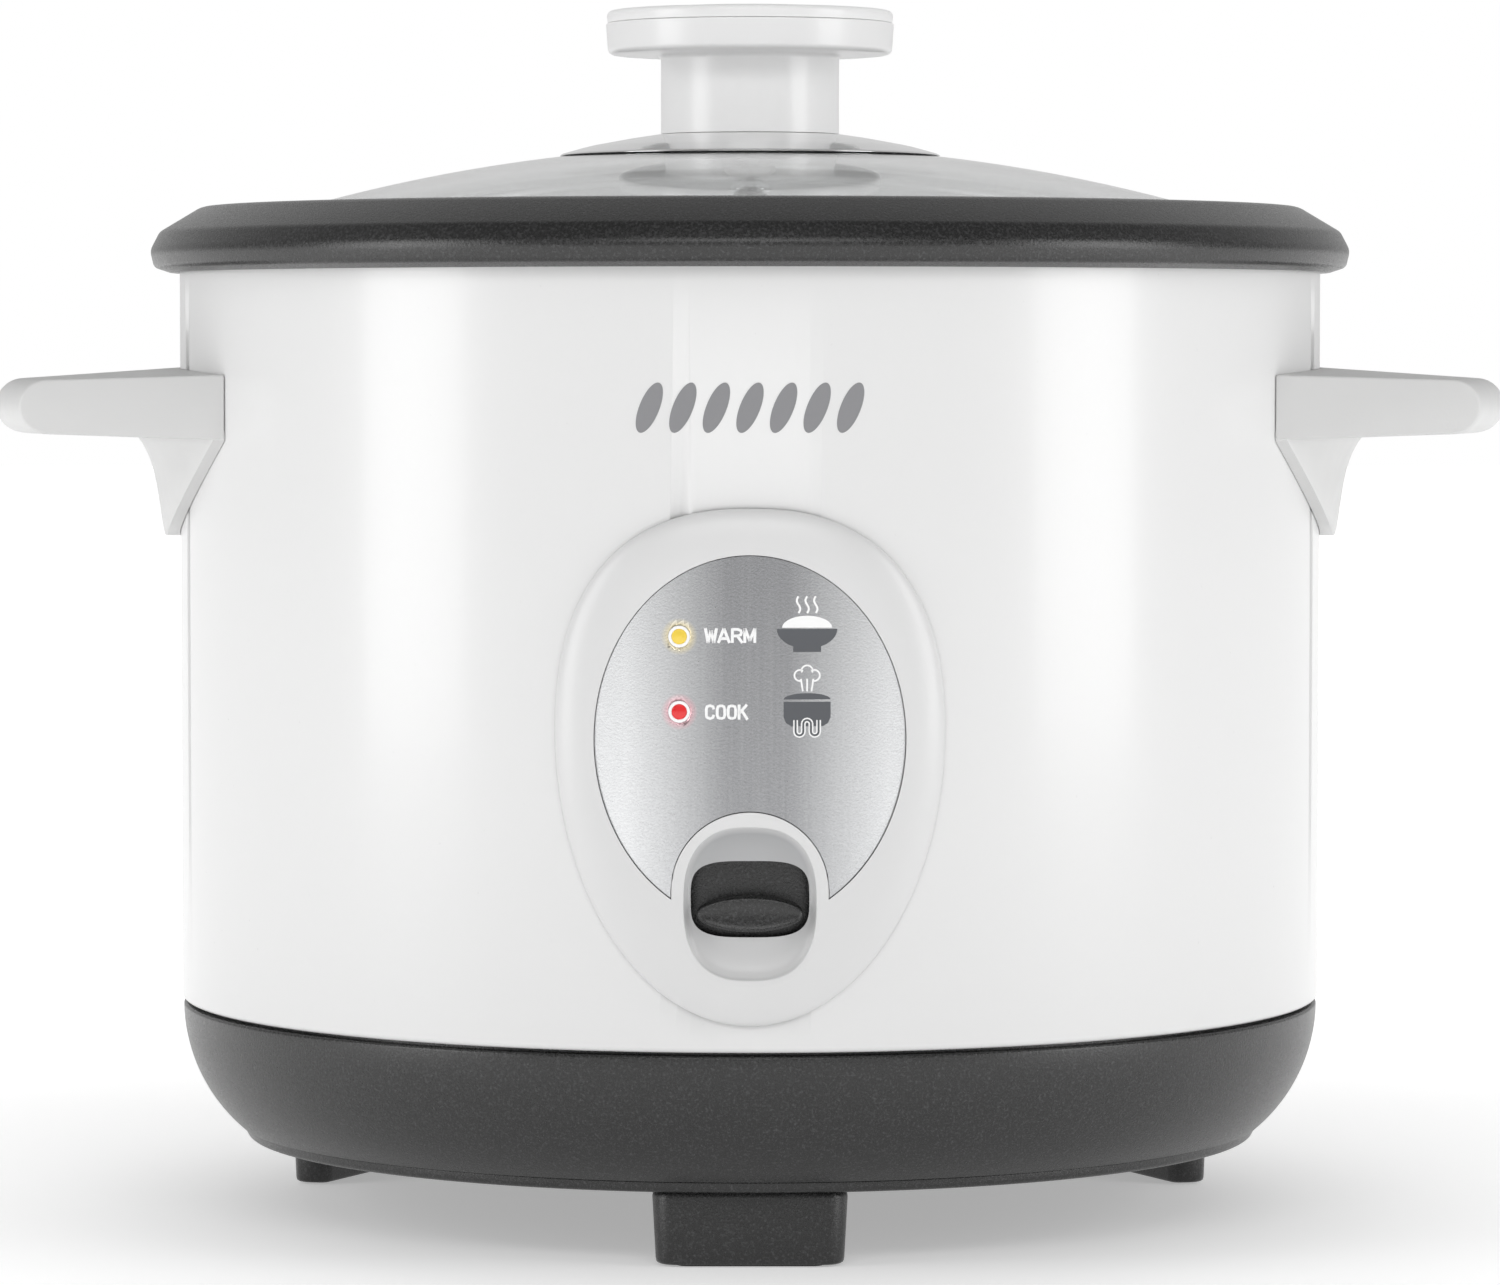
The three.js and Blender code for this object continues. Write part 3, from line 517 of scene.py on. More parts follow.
def ringed_metal(name, value, roughness):
    """Metal spun on a lathe: fine rings about the axis."""
    s = Shader(name, Metallic=1.0)
    split = s.node("ShaderNodeSeparateXYZ", Vector=s.coordinates)
    flat = s.node("ShaderNodeCombineXYZ", X=split.outputs[0], Y=split.outputs[1])
    reach = s.maths("LENGTH", flat.outputs[0], kind="ShaderNodeVectorMath")
    rings = s.node("ShaderNodeCombineXYZ", X=reach, Y=split.outputs[2])
    lines = s.noise(900, 3, rings.outputs[0], 0.6)
    wear = s.noise(35, 3)
    s.set("Base Color", s.mixed(wear, shade(value * 0.9), shade(value)))
    s.set("Roughness", s.ranged(lines, 0.3, 0.7, roughness - 0.06, roughness + 0.08))
    return s.bump(lines, 0.2, 0.00012).material


def fascia_metal():
    """Silver panel: lighter towards both sides than down the middle as a painted reflection, fine brushing,
    and a painted glow of lamp light round each lamp.
    """
    s = Shader("panel_silver", Metallic=1.0)
    lines = s.noise(1.0, 4, s.stretched((1500, 1500, 25)), 0.6)
    grain = s.noise(2200, 2)
    x = s.node("ShaderNodeSeparateXYZ", Vector=s.coordinates).outputs[0]
    # Painted reflection: the panel is darker down the middle and lighter towards both sides.
    left = s.ranged(x, -26 * MM, -5 * MM, 1, 0)
    right = s.ranged(x, 8 * MM, 29 * MM, 0, 0.9)
    silver = s.mixed(s.maths("ADD", left, right), shade(0.33, (1, 1.01, 1.04)), shade(0.80, (1, 1.01, 1.02)))
    brushed = s.ranged(lines, 0.3, 0.7, 0.0, 0.06)
    tone = s.mixed(brushed, silver, shade(0.9))
    # A painted glow of lamp light on the panel round each lamp, amber and red.
    for lamp, tint in (("warm", (0.95, 0.80, 0.42, 1)), ("cook", (0.90, 0.42, 0.48, 1))):
        centre = (LAMP_X * MM, on_body(LAMP_X, 0, FASCIA_R)[1] * MM, LAMP_Z[lamp] * MM)
        away = s.maths("DISTANCE", s.coordinates, centre, kind="ShaderNodeVectorMath")
        painted_lamp_glow = s.ranged(away, 2.2 * MM, 3.9 * MM, 0.65, 0)
        tone = s.mixed(painted_lamp_glow, tone, tint)
    s.set("Base Color", tone)
    s.set("Roughness", s.ranged(grain, 0.3, 0.7, 0.20, 0.28))
    return s.bump(grain, 0.06, 0.0002).material


def glass():
    s = Shader("tempered_glass", Transmission_Weight=1.0, IOR=1.47)
    s.set("Base Color", s.mixed(s.noise(8, 2), (0.955, 0.97, 0.97, 1), (0.975, 0.985, 0.985, 1)))
    s.set("Roughness", s.ranged(s.noise(70, 3), 0.35, 0.75, 0.0, 0.02))
    return s.bump(s.noise(14, 1), 0.02, 0.0006).material


def lens(name, tint, glow):
    s = Shader(name, Coat_Weight=0.5, Coat_Roughness=0.05, Emission_Strength=glow)
    tone = s.mixed(s.noise(600, 2), tint, tuple(0.85 * c for c in tint[:3]) + (1,))
    s.set("Base Color", tone)
    s.set("Emission Color", tone)
    s.set("Roughness", s.ranged(s.noise(400, 2), 0.3, 0.7, 0.25, 0.35))
    return s.material


def ink(name, colour):
    s = Shader(name, Specular_IOR_Level=0.4)
    s.set("Base Color", s.mixed(s.noise(900, 2), colour, tuple(0.96 * c for c in colour[:3]) + (1,)))
    s.set("Roughness", s.ranged(s.noise(1200, 2), 0.3, 0.7, 0.4, 0.5))
    return s.material


def plain(name, colour, roughness, scale=300, spread=0.12):
    """Moulded or sleeved inner parts: mottled colour, uneven gloss and a fine bump."""
    s = Shader(name)
    mottle = s.noise(scale, 3)
    dark = tuple((1 - spread) * c for c in colour) + (1,)
    s.set("Base Color", s.mixed(mottle, tuple(colour) + (1,), dark))
    s.set("Roughness", s.ranged(mottle, 0.3, 0.7, roughness - 0.06, roughness + 0.06))
    return s.bump(s.noise(scale * 3, 2), 0.15, 0.0002).material


MATERIALS = {
    "body_white_gloss": enamel(),
    "knob_white_gloss": gloss_white("knob_white", 0.90, 0.3, 0.008),
    "bezel_white": bezel_plastic(),
    "panel_silver": fascia_metal(),
    "handle_grey": handle_plastic(),
    "charcoal_plastic": charcoal(),
    "foot_rubber": rubber(),
    "bare_aluminium": metal("bare_aluminium", 0.78, 0.36),
    "pot_aluminium": ringed_metal("pot_aluminium", 0.80, 0.30),
    "lid_glass": glass(),
    "stainless_trim": metal("stainless_trim", 0.74, 0.12, strength=0.03),
    "plated_steel": metal("plated_steel", 0.62, 0.34, (300, 300, 60)),
    "spring_steel": metal("spring_steel", 0.42, 0.36),
    "ferrite_black": plain("ferrite", (0.05, 0.05, 0.05), 0.65, 500),
    "black_plastic": plain("black_plastic", (0.02, 0.02, 0.022), 0.45, 400),
    "lens_amber": lens("lens_amber", (0.80, 0.58, 0.06, 1), 0.18),
    "lens_red": lens("lens_red", (0.70, 0.012, 0.015, 1), 0.2),
    "board_green": plain("board_green", (0.05, 0.22, 0.09), 0.4, 200),
    "mica_band": plain("mica_band", (0.42, 0.33, 0.2), 0.6, 90),
    "white_nylon": plain("white_nylon", (0.74, 0.72, 0.66), 0.5, 300, 0.06),
    "brown_insulation": plain("brown_insulation", (0.2, 0.1, 0.06), 0.5, 300),
    "ink_white": ink("ink_white", (0.92, 0.92, 0.92, 1)),
    "ink_dark": ink("ink_dark", (0.10, 0.105, 0.115, 1)),
    "ink_grey": ink("ink_grey", (0.25, 0.25, 0.26, 1)),
    "pin_brass": metal("pin_brass", 0.8, 0.28, tint=(1.0, 0.78, 0.42)),
}


def dress_nodes():
    """Every CAD node carries the procedural material of its slot."""
    for row in frame["record"]["subparts"]:
        node = frame["nodes"][row["node"]]
        node.data.materials.clear()
        node.data.materials.append(MATERIALS[row["material_slot"]])


# ------------------------------------------------------------------ casing

def plug(name, outline, front, back, grow=0.0, count=96):
    """A solid along Y with a front outline, to cut with."""
    angles = [2 * math.pi * i / count for i in range(count)]
    rings = []
    for y in (front, back):
        flat = [outline_point(outline, a, grow) for a in angles]
        rings.append([(x, y, z) for x, z in flat])
    return finish_mesh(name, rings_bmesh(rings))


def make_outer_shell():
    inside = BODY_R - 1.2
    shell = turned("body_shell", [
        (inside, BODY_TOP),
        (BODY_R, BODY_TOP, 0.2),
        (BODY_R, BODY_BOTTOM, 2.4),
        (TUB_LIP_R + 0.3, BODY_BOTTOM),
        (TUB_LIP_R + 0.3, BODY_BOTTOM + 1.2),
        (inside, BODY_BOTTOM + 1.2, 1.4),
    ], segments=256)
    boolean(shell, plug("mouth_cutter", MOUTH, -140, -115, 0.8))
    for side, sign in SIDES:
        drill_for_handle_screws(shell, SHELL_HOLE_R, 140, side, sign)
    for z in LAMP_Z.values():
        drill(shell, LENS_R + 0.6, 120, 135, (LAMP_X, 0, z), FRONTWARD)
    place(shell, "body_white_gloss", "root", "outer_shell")


def make_top_ring():
    ring = turned("top_ring_fine", [
        (MOUTH_R, RING_SEAT),
        (MOUTH_R, RING_TOP, 0.9),
        (124.6, RING_TOP, 5.0),
        (RING_R - 2.2, 221.6, 2.6),
        (RING_R, 217.4, 3.2),
        (RING_R - 0.9, 213.6, 1.6),
        (131.5, 212.3, 0.8),
        (130.2, BODY_TOP + 0.5),
        (128.0, BODY_TOP + 0.5),
        (128.0, 207.0, 0.5),
        (125.8, 207.0, 0.5),
        (125.8, RING_SEAT),
    ])
    place(ring, "charcoal_plastic", "root", "top_ring")


def quarter_bowl():
    """The tub's side: a quarter ellipse from the lip down to the step."""
    steps, centre_r, tall = 24, 95.0, 36.0
    wide = TUB_R - centre_r
    stop = math.asin(min(1, (TUB_TOP - COVER_TOP - 0.05) / tall))
    angles = [stop * i / steps for i in range(steps + 1)]
    return [(centre_r + wide * math.cos(a), TUB_TOP - tall * math.sin(a)) for a in angles]


def make_base():
    outside = quarter_bowl()
    tub = turned("base_tub_fine", [
        (124.7, 53.0),
        (TUB_LIP_R, 53.0, 0.4),
        (TUB_LIP_R, TUB_TOP),
        (TUB_R, TUB_TOP, 0.7),
        *outside[2:],
        (94.0, COVER_TOP + 0.05),
        (94.0, COVER_TOP + 2.6),
        (114.6, COVER_TOP + 2.6, 4),
        (120.4, 26.6, 10),
        (124.7, 38.0, 10),
    ])
    inlet = middle("inlet_housing")
    boolean(tub, rounded_block("inlet_cutter", 15.8, 9.05, 3.0, 100, 140, inlet.z))
    drill_for_base_screws(tub)
    place(tub, "charcoal_plastic", "root", "base_tub")

    cover = turned("bottom_cover_fine", [
        (0, COVER_BOTTOM + 0.8),
        (78, COVER_BOTTOM + 0.8),
        (80, COVER_BOTTOM, 0.5),
        (COVER_R - 0.2, COVER_BOTTOM, 2.2),
        (COVER_R, COVER_TOP, 0.3),
        (0, COVER_TOP),
    ], closed=False)
    for i in range(12):
        slot_turn = math.radians((i + 0.5) * 30)
        boolean(cover, vent_cutter(slot_turn))
    drill_for_base_screws(cover)
    place(cover, "charcoal_plastic", "root", "bottom_cover")


def vent_cutter(turn):
    """A slot with round ends, standing through the cover."""
    inner, outer, half = 48.0, 72.0, 2.0
    rings = []
    for z in (COVER_BOTTOM - 2, COVER_TOP + 2):
        ring = []
        for k in range(9):
            a = math.pi / 2 + math.pi * k / 8
            ring.append((inner + half * math.cos(a), half * math.sin(a), z))
        for k in range(9):
            a = -math.pi / 2 + math.pi * k / 8
            ring.append((outer + half * math.cos(a), half * math.sin(a), z))
        rings.append(ring)
    cutter = finish_mesh("vent_cutter", rings_bmesh(rings))
    cutter.data.transform(Matrix.Rotation(turn, 4, "Z"))
    return cutter


def make_feet():
    top = COVER_BOTTOM - 0.25
    width, depth, corner = 20.85, 5.0, 4.98
    for place_name in ("front", "rear_right", "rear_left"):
        pad_at = middle("foot_pad_" + place_name)
        turn_to = math.atan2(pad_at.y, pad_at.x) - math.pi / 2
        rings = []
        layers = [(top, 0.6), (top - 0.5, 0.15), (top - 1.4, 0)]
        layers += [(1.7, 0.7), (1.1, 0.8), (0.75, 1.0), (0.5, 1.45)]
        for z, inset in layers:
            ring = rounded_ring(width - inset, depth - inset * 0.6, corner - inset * 0.6)
            rings.append([(x, y, z) for x, y in ring])
        pocket = rounded_ring(16.3, 3.05, 2.9)
        rings.append([(x, y, 0.5) for x, y in pocket])
        rings.append([(x, y, 2.8) for x, y in pocket])
        foot = finish_mesh("foot_fine_" + place_name, rings_bmesh(rings), 40)
        pad_rings = []
        for z, inset in ((2.5, 0), (0.5, 0), (0.15, 0.15), (0, 0.5)):
            ring = rounded_ring(16.0 - inset, 2.75 - inset, 2.6 - inset)
            pad_rings.append([(x, y, z) for x, y in ring])
        pad = finish_mesh("foot_pad_fine_" + place_name, rings_bmesh(pad_rings), 40)
        reach = math.hypot(pad_at.x, pad_at.y)
        turn = Matrix.Rotation(turn_to, 4, "Z")
        move = turn @ Matrix.Translation((0, reach * MM, 0))
        for piece, slot, node in (
            (foot, "charcoal_plastic", "foot_" + place_name),
            (pad, "foot_rubber", "foot_pad_" + place_name),
        ):
            piece.data.transform(move)
            place(piece, slot, "root", node)


# ------------------------------------------------------------------ handles

def handle_profile():
    """The tongue's radial section: underside, round nose and top, as (r, z, crown share)."""
    nose = (NOSE_TOP - NOSE_BOTTOM) / 2
    nose_r = HANDLE_REACH - nose
    inner = BODY_R + 0.15
    points = []
    for k in range(9):
        t = k / 8
        points.append((inner + (nose_r - inner) * t, HANDLE_UNDER + (NOSE_BOTTOM - HANDLE_UNDER) * t, 0))
    for k in range(1, 24):
        a = -math.pi / 2 + math.pi * k / 24
        points.append((nose_r + nose * math.cos(a), (NOSE_TOP + NOSE_BOTTOM) / 2 + nose * math.sin(a), 0))
    for k in range(9):
        t = k / 8
        points.append((nose_r + (inner - nose_r) * t, NOSE_TOP + 1.0 * t, t))
    return points


def make_tongue():
    crown = 1.4
    count = 40
    rings = []
    for i in range(count + 1):
        y = HANDLE_SPAN * (2 * i / count - 1)
        lift = crown * (1 - (y / HANDLE_SPAN) ** 2)
        ring = [(math.sqrt(r * r - y * y), y, z + lift * share) for r, z, share in handle_profile()]
        rings.append(ring)
    return softened(finish_mesh("handle_tongue", rings_bmesh(rings)), 0.6, 50)


def gusset_reach(z):
    """How far the gusset's middle stands from the axis at a height."""
    t = (z - GUSSET_BOTTOM) / (HANDLE_UNDER - GUSSET_BOTTOM)
    return 133.4 + 2.9 * t + 2.9 * max(0, t) ** 5


def gusset_half(z):
    """Half the gusset's width on the body: its edge is a slanting plane's cut."""
    edge_x = BODY_R - (BODY_R - 114.9) * (z - GUSSET_BOTTOM) / (HANDLE_UNDER - GUSSET_BOTTOM)
    return math.sqrt(max(BODY_R ** 2 - edge_x ** 2, 36))


def make_gusset():
    rim = 2.6
    across = 48
    rings = []
    for k in range(25):
        z = GUSSET_BOTTOM + (HANDLE_UNDER + 2.0 - GUSSET_BOTTOM) * k / 24
        half = min(gusset_half(min(z, HANDLE_UNDER)), HANDLE_SPAN - 0.2)
        crest = gusset_reach(min(z, HANDLE_UNDER)) - BODY_R
        ring = []
        for i in range(across + 1):
            s = 2 * i / across - 1
            y = s * half
            thick = rim + (crest - rim) * (1 - s * s) ** 0.7
            ring.append((math.sqrt((BODY_R + 0.15) ** 2 - y * y) + thick, y, z))
        for i in range(across, -1, -1):
            y = (2 * i / across - 1) * half
            ring.append((math.sqrt((BODY_R + 0.15) ** 2 - y * y), y, z))
        rings.append(ring)
    return finish_mesh("handle_gusset", rings_bmesh(rings))


def make_handles():
    right = boolean(make_tongue(), make_gusset(), "UNION")
    smoothed(right.data, 35)
    right.name = "handle_fine_right"
    left = right.copy()
    left.data = right.data.copy()
    left.name = "handle_fine_left"
    bpy.context.scene.collection.objects.link(left)
    left.data.transform(Matrix.Rotation(math.pi, 4, "Z"))
    for piece, side, sign in ((right, "right", 1), (left, "left", -1)):
        drill_for_handle_screws(piece, HANDLE_HOLE_R, 142, side, sign)
        place(piece, "handle_grey", "root", "handle_" + side)


# ------------------------------------------------------------------ control panel

def make_bezel():
    """A soft raised egg round a scoop, as rings from the mouth outwards and back behind."""
    count = 256
    centre_z = SCOOP["z"]
    angles = [2 * math.pi * i / count for i in range(count)]
    edge = [ray_hit(BEZEL, centre_z, a) for a in angles]
    inner_r = BODY_R + 0.3
    rings = []

    def ring(points, radius):
        rings.append([on_body(x, z, r) for (x, z), r in zip(points, radius)])

    scoop = [ray_hit(SCOOP, centre_z, a) for a in angles]
    mouth = [ray_hit(MOUTH, centre_z, a) for a in angles]
    ring(mouth, [inner_r] * count)
    bowl_steps = 14
    for k in range(bowl_steps + 1):
        a = math.pi / 2 * k / bowl_steps
        out, up = math.sin(a), 1 - math.cos(a)
        points = [lerp(m, s, out) for m, s in zip(mouth, scoop)]
        ring(points, [inner_r + 0.35 + (BEZEL_R - 0.35 - inner_r - 0.35) * up] * count)
    lip = [outset(p, centre_z, 0.35) for p in scoop]
    ring([outset(p, centre_z, 0.12) for p in scoop], [BEZEL_R - 0.12] * count)
    ring(lip, [BEZEL_R] * count)
    shoulder = 11.0
    for k in range(1, 11):
        points = [inset_between(l, e, k / 10, shoulder) for l, e in zip(lip, edge)]
        ring(points, [BEZEL_R] * count)
    drop = BEZEL_R - inner_r - 0.5
    for k in range(1, 17):
        a = math.pi / 2 * k / 16
        points = [inset_from_edge(l, e, shoulder * (1 - math.sin(a))) for l, e in zip(lip, edge)]
        ring(points, [BEZEL_R - drop * (1 - math.cos(a))] * count)
    ring(edge, [inner_r] * count)
    for t in (0.66, 0.33):
        ring([lerp(m, e, t) for m, e in zip(mouth, edge)], [inner_r] * count)
    rings.append(rings[0])
    return finish_mesh("panel_bezel_fine", rings_bmesh(rings, caps=False), 40)


def lerp(a, b, t):
    return (a[0] + (b[0] - a[0]) * t, a[1] + (b[1] - a[1]) * t)


def outset(point, centre_z, by):
    away = Vector((point[0], point[1] - centre_z))
    pushed = away * ((away.length + by) / away.length)
    return (pushed.x, centre_z + pushed.y)


def inset_between(inner, outer, t, shoulder):
    """A point on the way from the inner lip to where the shoulder begins."""
    return lerp(inner, inset_from_edge(inner, outer, shoulder), t)


def inset_from_edge(inner, outer, by):
    span = math.hypot(outer[0] - inner[0], outer[1] - inner[1])
    return lerp(outer, inner, min(by / span, 0.9))


def ray_hit(outline, centre_z, angle):
    """Where a ray from (0, centre_z) leaves an outline, by bisection."""
    near, far = 0.0, 140.0
    for _ in range(40):
        reach = (near + far) / 2
        x = reach * math.cos(angle)
        dz = centre_z + reach * math.sin(angle) - outline["z"]
        above = dz > 0
        square = outline["square_up" if above else "square_down"]
        tall = outline["up" if above else "down"]
        inside = (abs(x) / outline["half"]) ** square + (abs(dz) / tall) ** square < 1
        near, far = (reach, far) if inside else (near, reach)
    return (near * math.cos(angle), centre_z + near * math.sin(angle))


def fascia_columns(name, front_r, back_r, grow=0.0):
    """The fascia's outline as upright columns: an ellipse with the arched notch taken out."""
    half = FASCIA["half"] + grow
    arch = NOTCH["half"] - grow
    tall = FASCIA["up"] + grow
    count = 180
    rows = 48
    stations = sorted(set(
        [half * math.sin(math.pi / 2 * (2 * i / count - 1)) for i in range(1, count)]
        + [-arch, -arch + 1e-3, arch - 1e-3, arch]
    ))

    def span(x):
        top = FASCIA["z"] + tall * math.sqrt(1 - (x / half) ** 2)
        bottom = FASCIA["z"] - tall * math.sqrt(1 - (x / half) ** 2)
        if abs(x) < arch:
            bottom = NOTCH["z"] + (NOTCH["up"] - grow) * math.sqrt(1 - (x / arch) ** 2)
        return bottom, top

    columns = []
    for x in stations:
        bottom, top = span(x)
        columns.append([(x, bottom + (top - bottom) * j / rows) for j in range(rows + 1)])
    return bent_slab(name, columns, front_r, back_r, 50)


def make_lamps():
    for lamp, slot in (("warm", "lens_amber"), ("cook", "lens_red")):
        face = -on_body(LAMP_X, 0, FASCIA_R)[1]
        bulb = turned("lamp_fine_" + lamp, [
            (0, face - 2.0),
            (LENS_R, face - 2.0),
            (LENS_R, face + 0.25, 0.2),
            (0, face + 0.5),
        ], closed=False, segments=TINY)
        ring = turned("lamp_ring_" + lamp, [
            (LENS_R + 0.02, face - 0.6),
            (LAMP_RING_R, face - 0.6),
            (LAMP_RING_R, face + 0.2, 0.15),
            (LENS_R + 0.02, face + 0.2, 0.1),
        ], segments=TINY)
        for piece in (bulb, ring):
            moved(piece, LAMP_X, 0, LAMP_Z[lamp], FRONTWARD)
        place(bulb, slot, "root", "lamp_lens_" + lamp)
        place(ring, "knob_white_gloss", "root")


def make_panel():
    bezel = make_bezel()
    boolean(bezel, fascia_columns("pocket_cutter", BEZEL_R + 3, BODY_R - 2, 0.18))
    smoothed(bezel.data, 38)
    place(bezel, "bezel_white", "root", "panel_bezel")
    fascia = fascia_columns("panel_fascia_fine", FASCIA_R, BODY_R + 0.3)
    for z in LAMP_Z.values():
        drill(fascia, LAMP_HOLE_R, 110, 140, (LAMP_X, 0, z), FRONTWARD)
    place(fascia, "panel_silver", "root", "panel_fascia")
    make_lamps()
    shield = shield_mesh()
    boolean(shield, pad_mesh(), "UNION")
    smoothed(shield.data, 35)
    place(shield, "charcoal_plastic", "lever", "lever_paddle")


def shield_mesh():
    """The lever's curved plate, which closes the scoop's mouth from behind."""
    half_x, half_z, centre_z, shield_r = 15.5, 14.5, 78.5, 126.3
    across, tall = 40, 24
    columns = []
    for i in range(across + 1):
        x = half_x * (2 * i / across - 1)
        columns.append([(x, centre_z + half_z * (2 * j / tall - 1)) for j in range(tall + 1)])
    return bent_slab("lever_paddle_fine", columns, shield_r, shield_r - 2.0, 40)


def pad_mesh():
    """The finger pad: an oval stub with a rounded rim and a slightly dished face."""
    count = 96
    angles = [2 * math.pi * i / count for i in range(count)]
    rings = []
    layers = [(-125.5, 0), (-131.9, 0), (-132.25, -0.08), (-132.5, -0.3), (-132.55, -0.5), (-132.4, -0.75)]
    for y, grow in layers:
        rings.append([(x, y, z) for x, z in (outline_point(PAD, a, grow) for a in angles)])
    for share in (0.75, 0.5, 0.25):
        dish = -132.4 + 0.35 * (1 - share ** 2)
        flat = [outline_point(PAD, a, -0.75) for a in angles]
        rings.append([(x * share, dish, PAD["z"] + (z - PAD["z"]) * share) for x, z in flat])
    rings.append([(0, -132.05, PAD["z"])])
    return finish_mesh("pad", rings_bmesh(rings), 40)


# ------------------------------------------------------------------ printed marks

def wrapped(name, bm, ink_name, surface_r, lift):
    """Bends a flat slab (x, 0 or 1, z) on to the cylinder as a thin layer of ink."""
    reach = max(abs(v.co.x) for v in bm.verts)
    strips = math.ceil(reach)
    for i in range(-strips, strips + 1):
        everything = list(bm.verts) + list(bm.edges) + list(bm.faces)
        bmesh.ops.bisect_plane(bm, geom=everything, plane_co=(i + 0.013, 0, 0), plane_no=(1, 0, 0))
    bmesh.ops.triangulate(bm, faces=[f for f in bm.faces if len(f.verts) > 4])
    for v in bm.verts:
        v.co = on_body(v.co.x, v.co.z, surface_r + (lift if v.co.y > 0.5 else -0.03))
    return place(finish_mesh(name, bm, 30), None, "root", look=ink_name)


def printed(name, shapes, ink_name, surface_r, lift=0.05):
    """Thin closed layers of ink, one for each outline of (x, z)."""
    bm = bmesh.new()
    for outline in shapes:
        back, front = [[bm.verts.new((x, y, z)) for x, z in outline] for y in (0, 1)]
        bm.faces.new(front)
        bm.faces.new(back[::-1])
        for i in range(len(outline)):
            j = (i + 1) % len(outline)
            bm.faces.new((back[i], back[j], front[j], front[i]))
    return wrapped(name, bm, ink_name, surface_r, lift)


def stroke(points, width):
    """The outline of a line of even width with square ends."""
    left, right = [], []
    for i, point in enumerate(points):
        before = Vector(points[max(i - 1, 0)])
        after = Vector(points[min(i + 1, len(points) - 1)])
        along = (after - before).normalized()
        side = Vector((-along.y, along.x)) * width / 2
        left.append(tuple(Vector(point) + side))
        right.append(tuple(Vector(point) - side))
    return left + right[::-1]


def oval(x, z, half_x, half_z, start=0, end=360, steps=40):
    points = []
    for k in range(steps + (end - start < 360)):
        a = math.radians(start + (end - start) * k / steps)
        points.append((x + half_x * math.cos(a), z + half_z * math.sin(a)))
    return points


def wisp(x, z, height, sway):
    """A wavy line of steam."""
    return [(x + sway * math.sin(2 * math.pi * k / 16), z + height * k / 16) for k in range(17)]


LETTERS = {  # strokes of plain capitals in a box one wide and one high
    "W": [[(0, 1), (0.24, 0)], [(0.24, 0), (0.5, 0.85)], [(0.5, 0.85), (0.76, 0)], [(0.76, 0), (1, 1)]],
    "A": [[(0, 0), (0.5, 1)], [(0.5, 1), (1, 0)], [(0.2, 0.3), (0.8, 0.3)]],
    "R": [[(0.1, 0), (0.1, 1)], [(0.55, 0.48), (1, 0)],
          [(0.1, 0.93), (0.6, 0.93), (0.86, 0.84), (0.9, 0.7), (0.86, 0.56), (0.6, 0.48), (0.1, 0.48)]],
    "M": [[(0.05, 0), (0.05, 1)], [(0.05, 1), (0.5, 0.15)], [(0.5, 0.15), (0.95, 1)],
          [(0.95, 1), (0.95, 0)]],
    "C": [[(0.9, 0.68), (0.82, 0.86), (0.5, 0.93), (0.18, 0.86), (0.1, 0.68), (0.1, 0.32),
          (0.18, 0.14), (0.5, 0.07), (0.82, 0.14), (0.9, 0.32)]],
    "O": [[(0.5, 0.93), (0.18, 0.86), (0.1, 0.68), (0.1, 0.32), (0.18, 0.14), (0.5, 0.07)],
          [(0.5, 0.07), (0.82, 0.14), (0.9, 0.32), (0.9, 0.68), (0.82, 0.86), (0.5, 0.93)]],
    "K": [[(0.1, 0), (0.1, 1)], [(0.1, 0.4), (0.95, 1)], [(0.4, 0.6), (1, 0)]],
}


def lettering(word, left, low_z, width, height, weight=0.6):
    """A plain function word on the fascia."""
    pitch = width / len(word)
    shapes = []
    for i, letter in enumerate(word):
        for line in LETTERS[letter]:
            run = [(left + pitch * (i + 0.86 * x), low_z + height * z) for x, z in line]
            shapes.append(stroke(run, weight))
    printed("label_" + word.lower(), shapes, "ink_white", FASCIA_R)


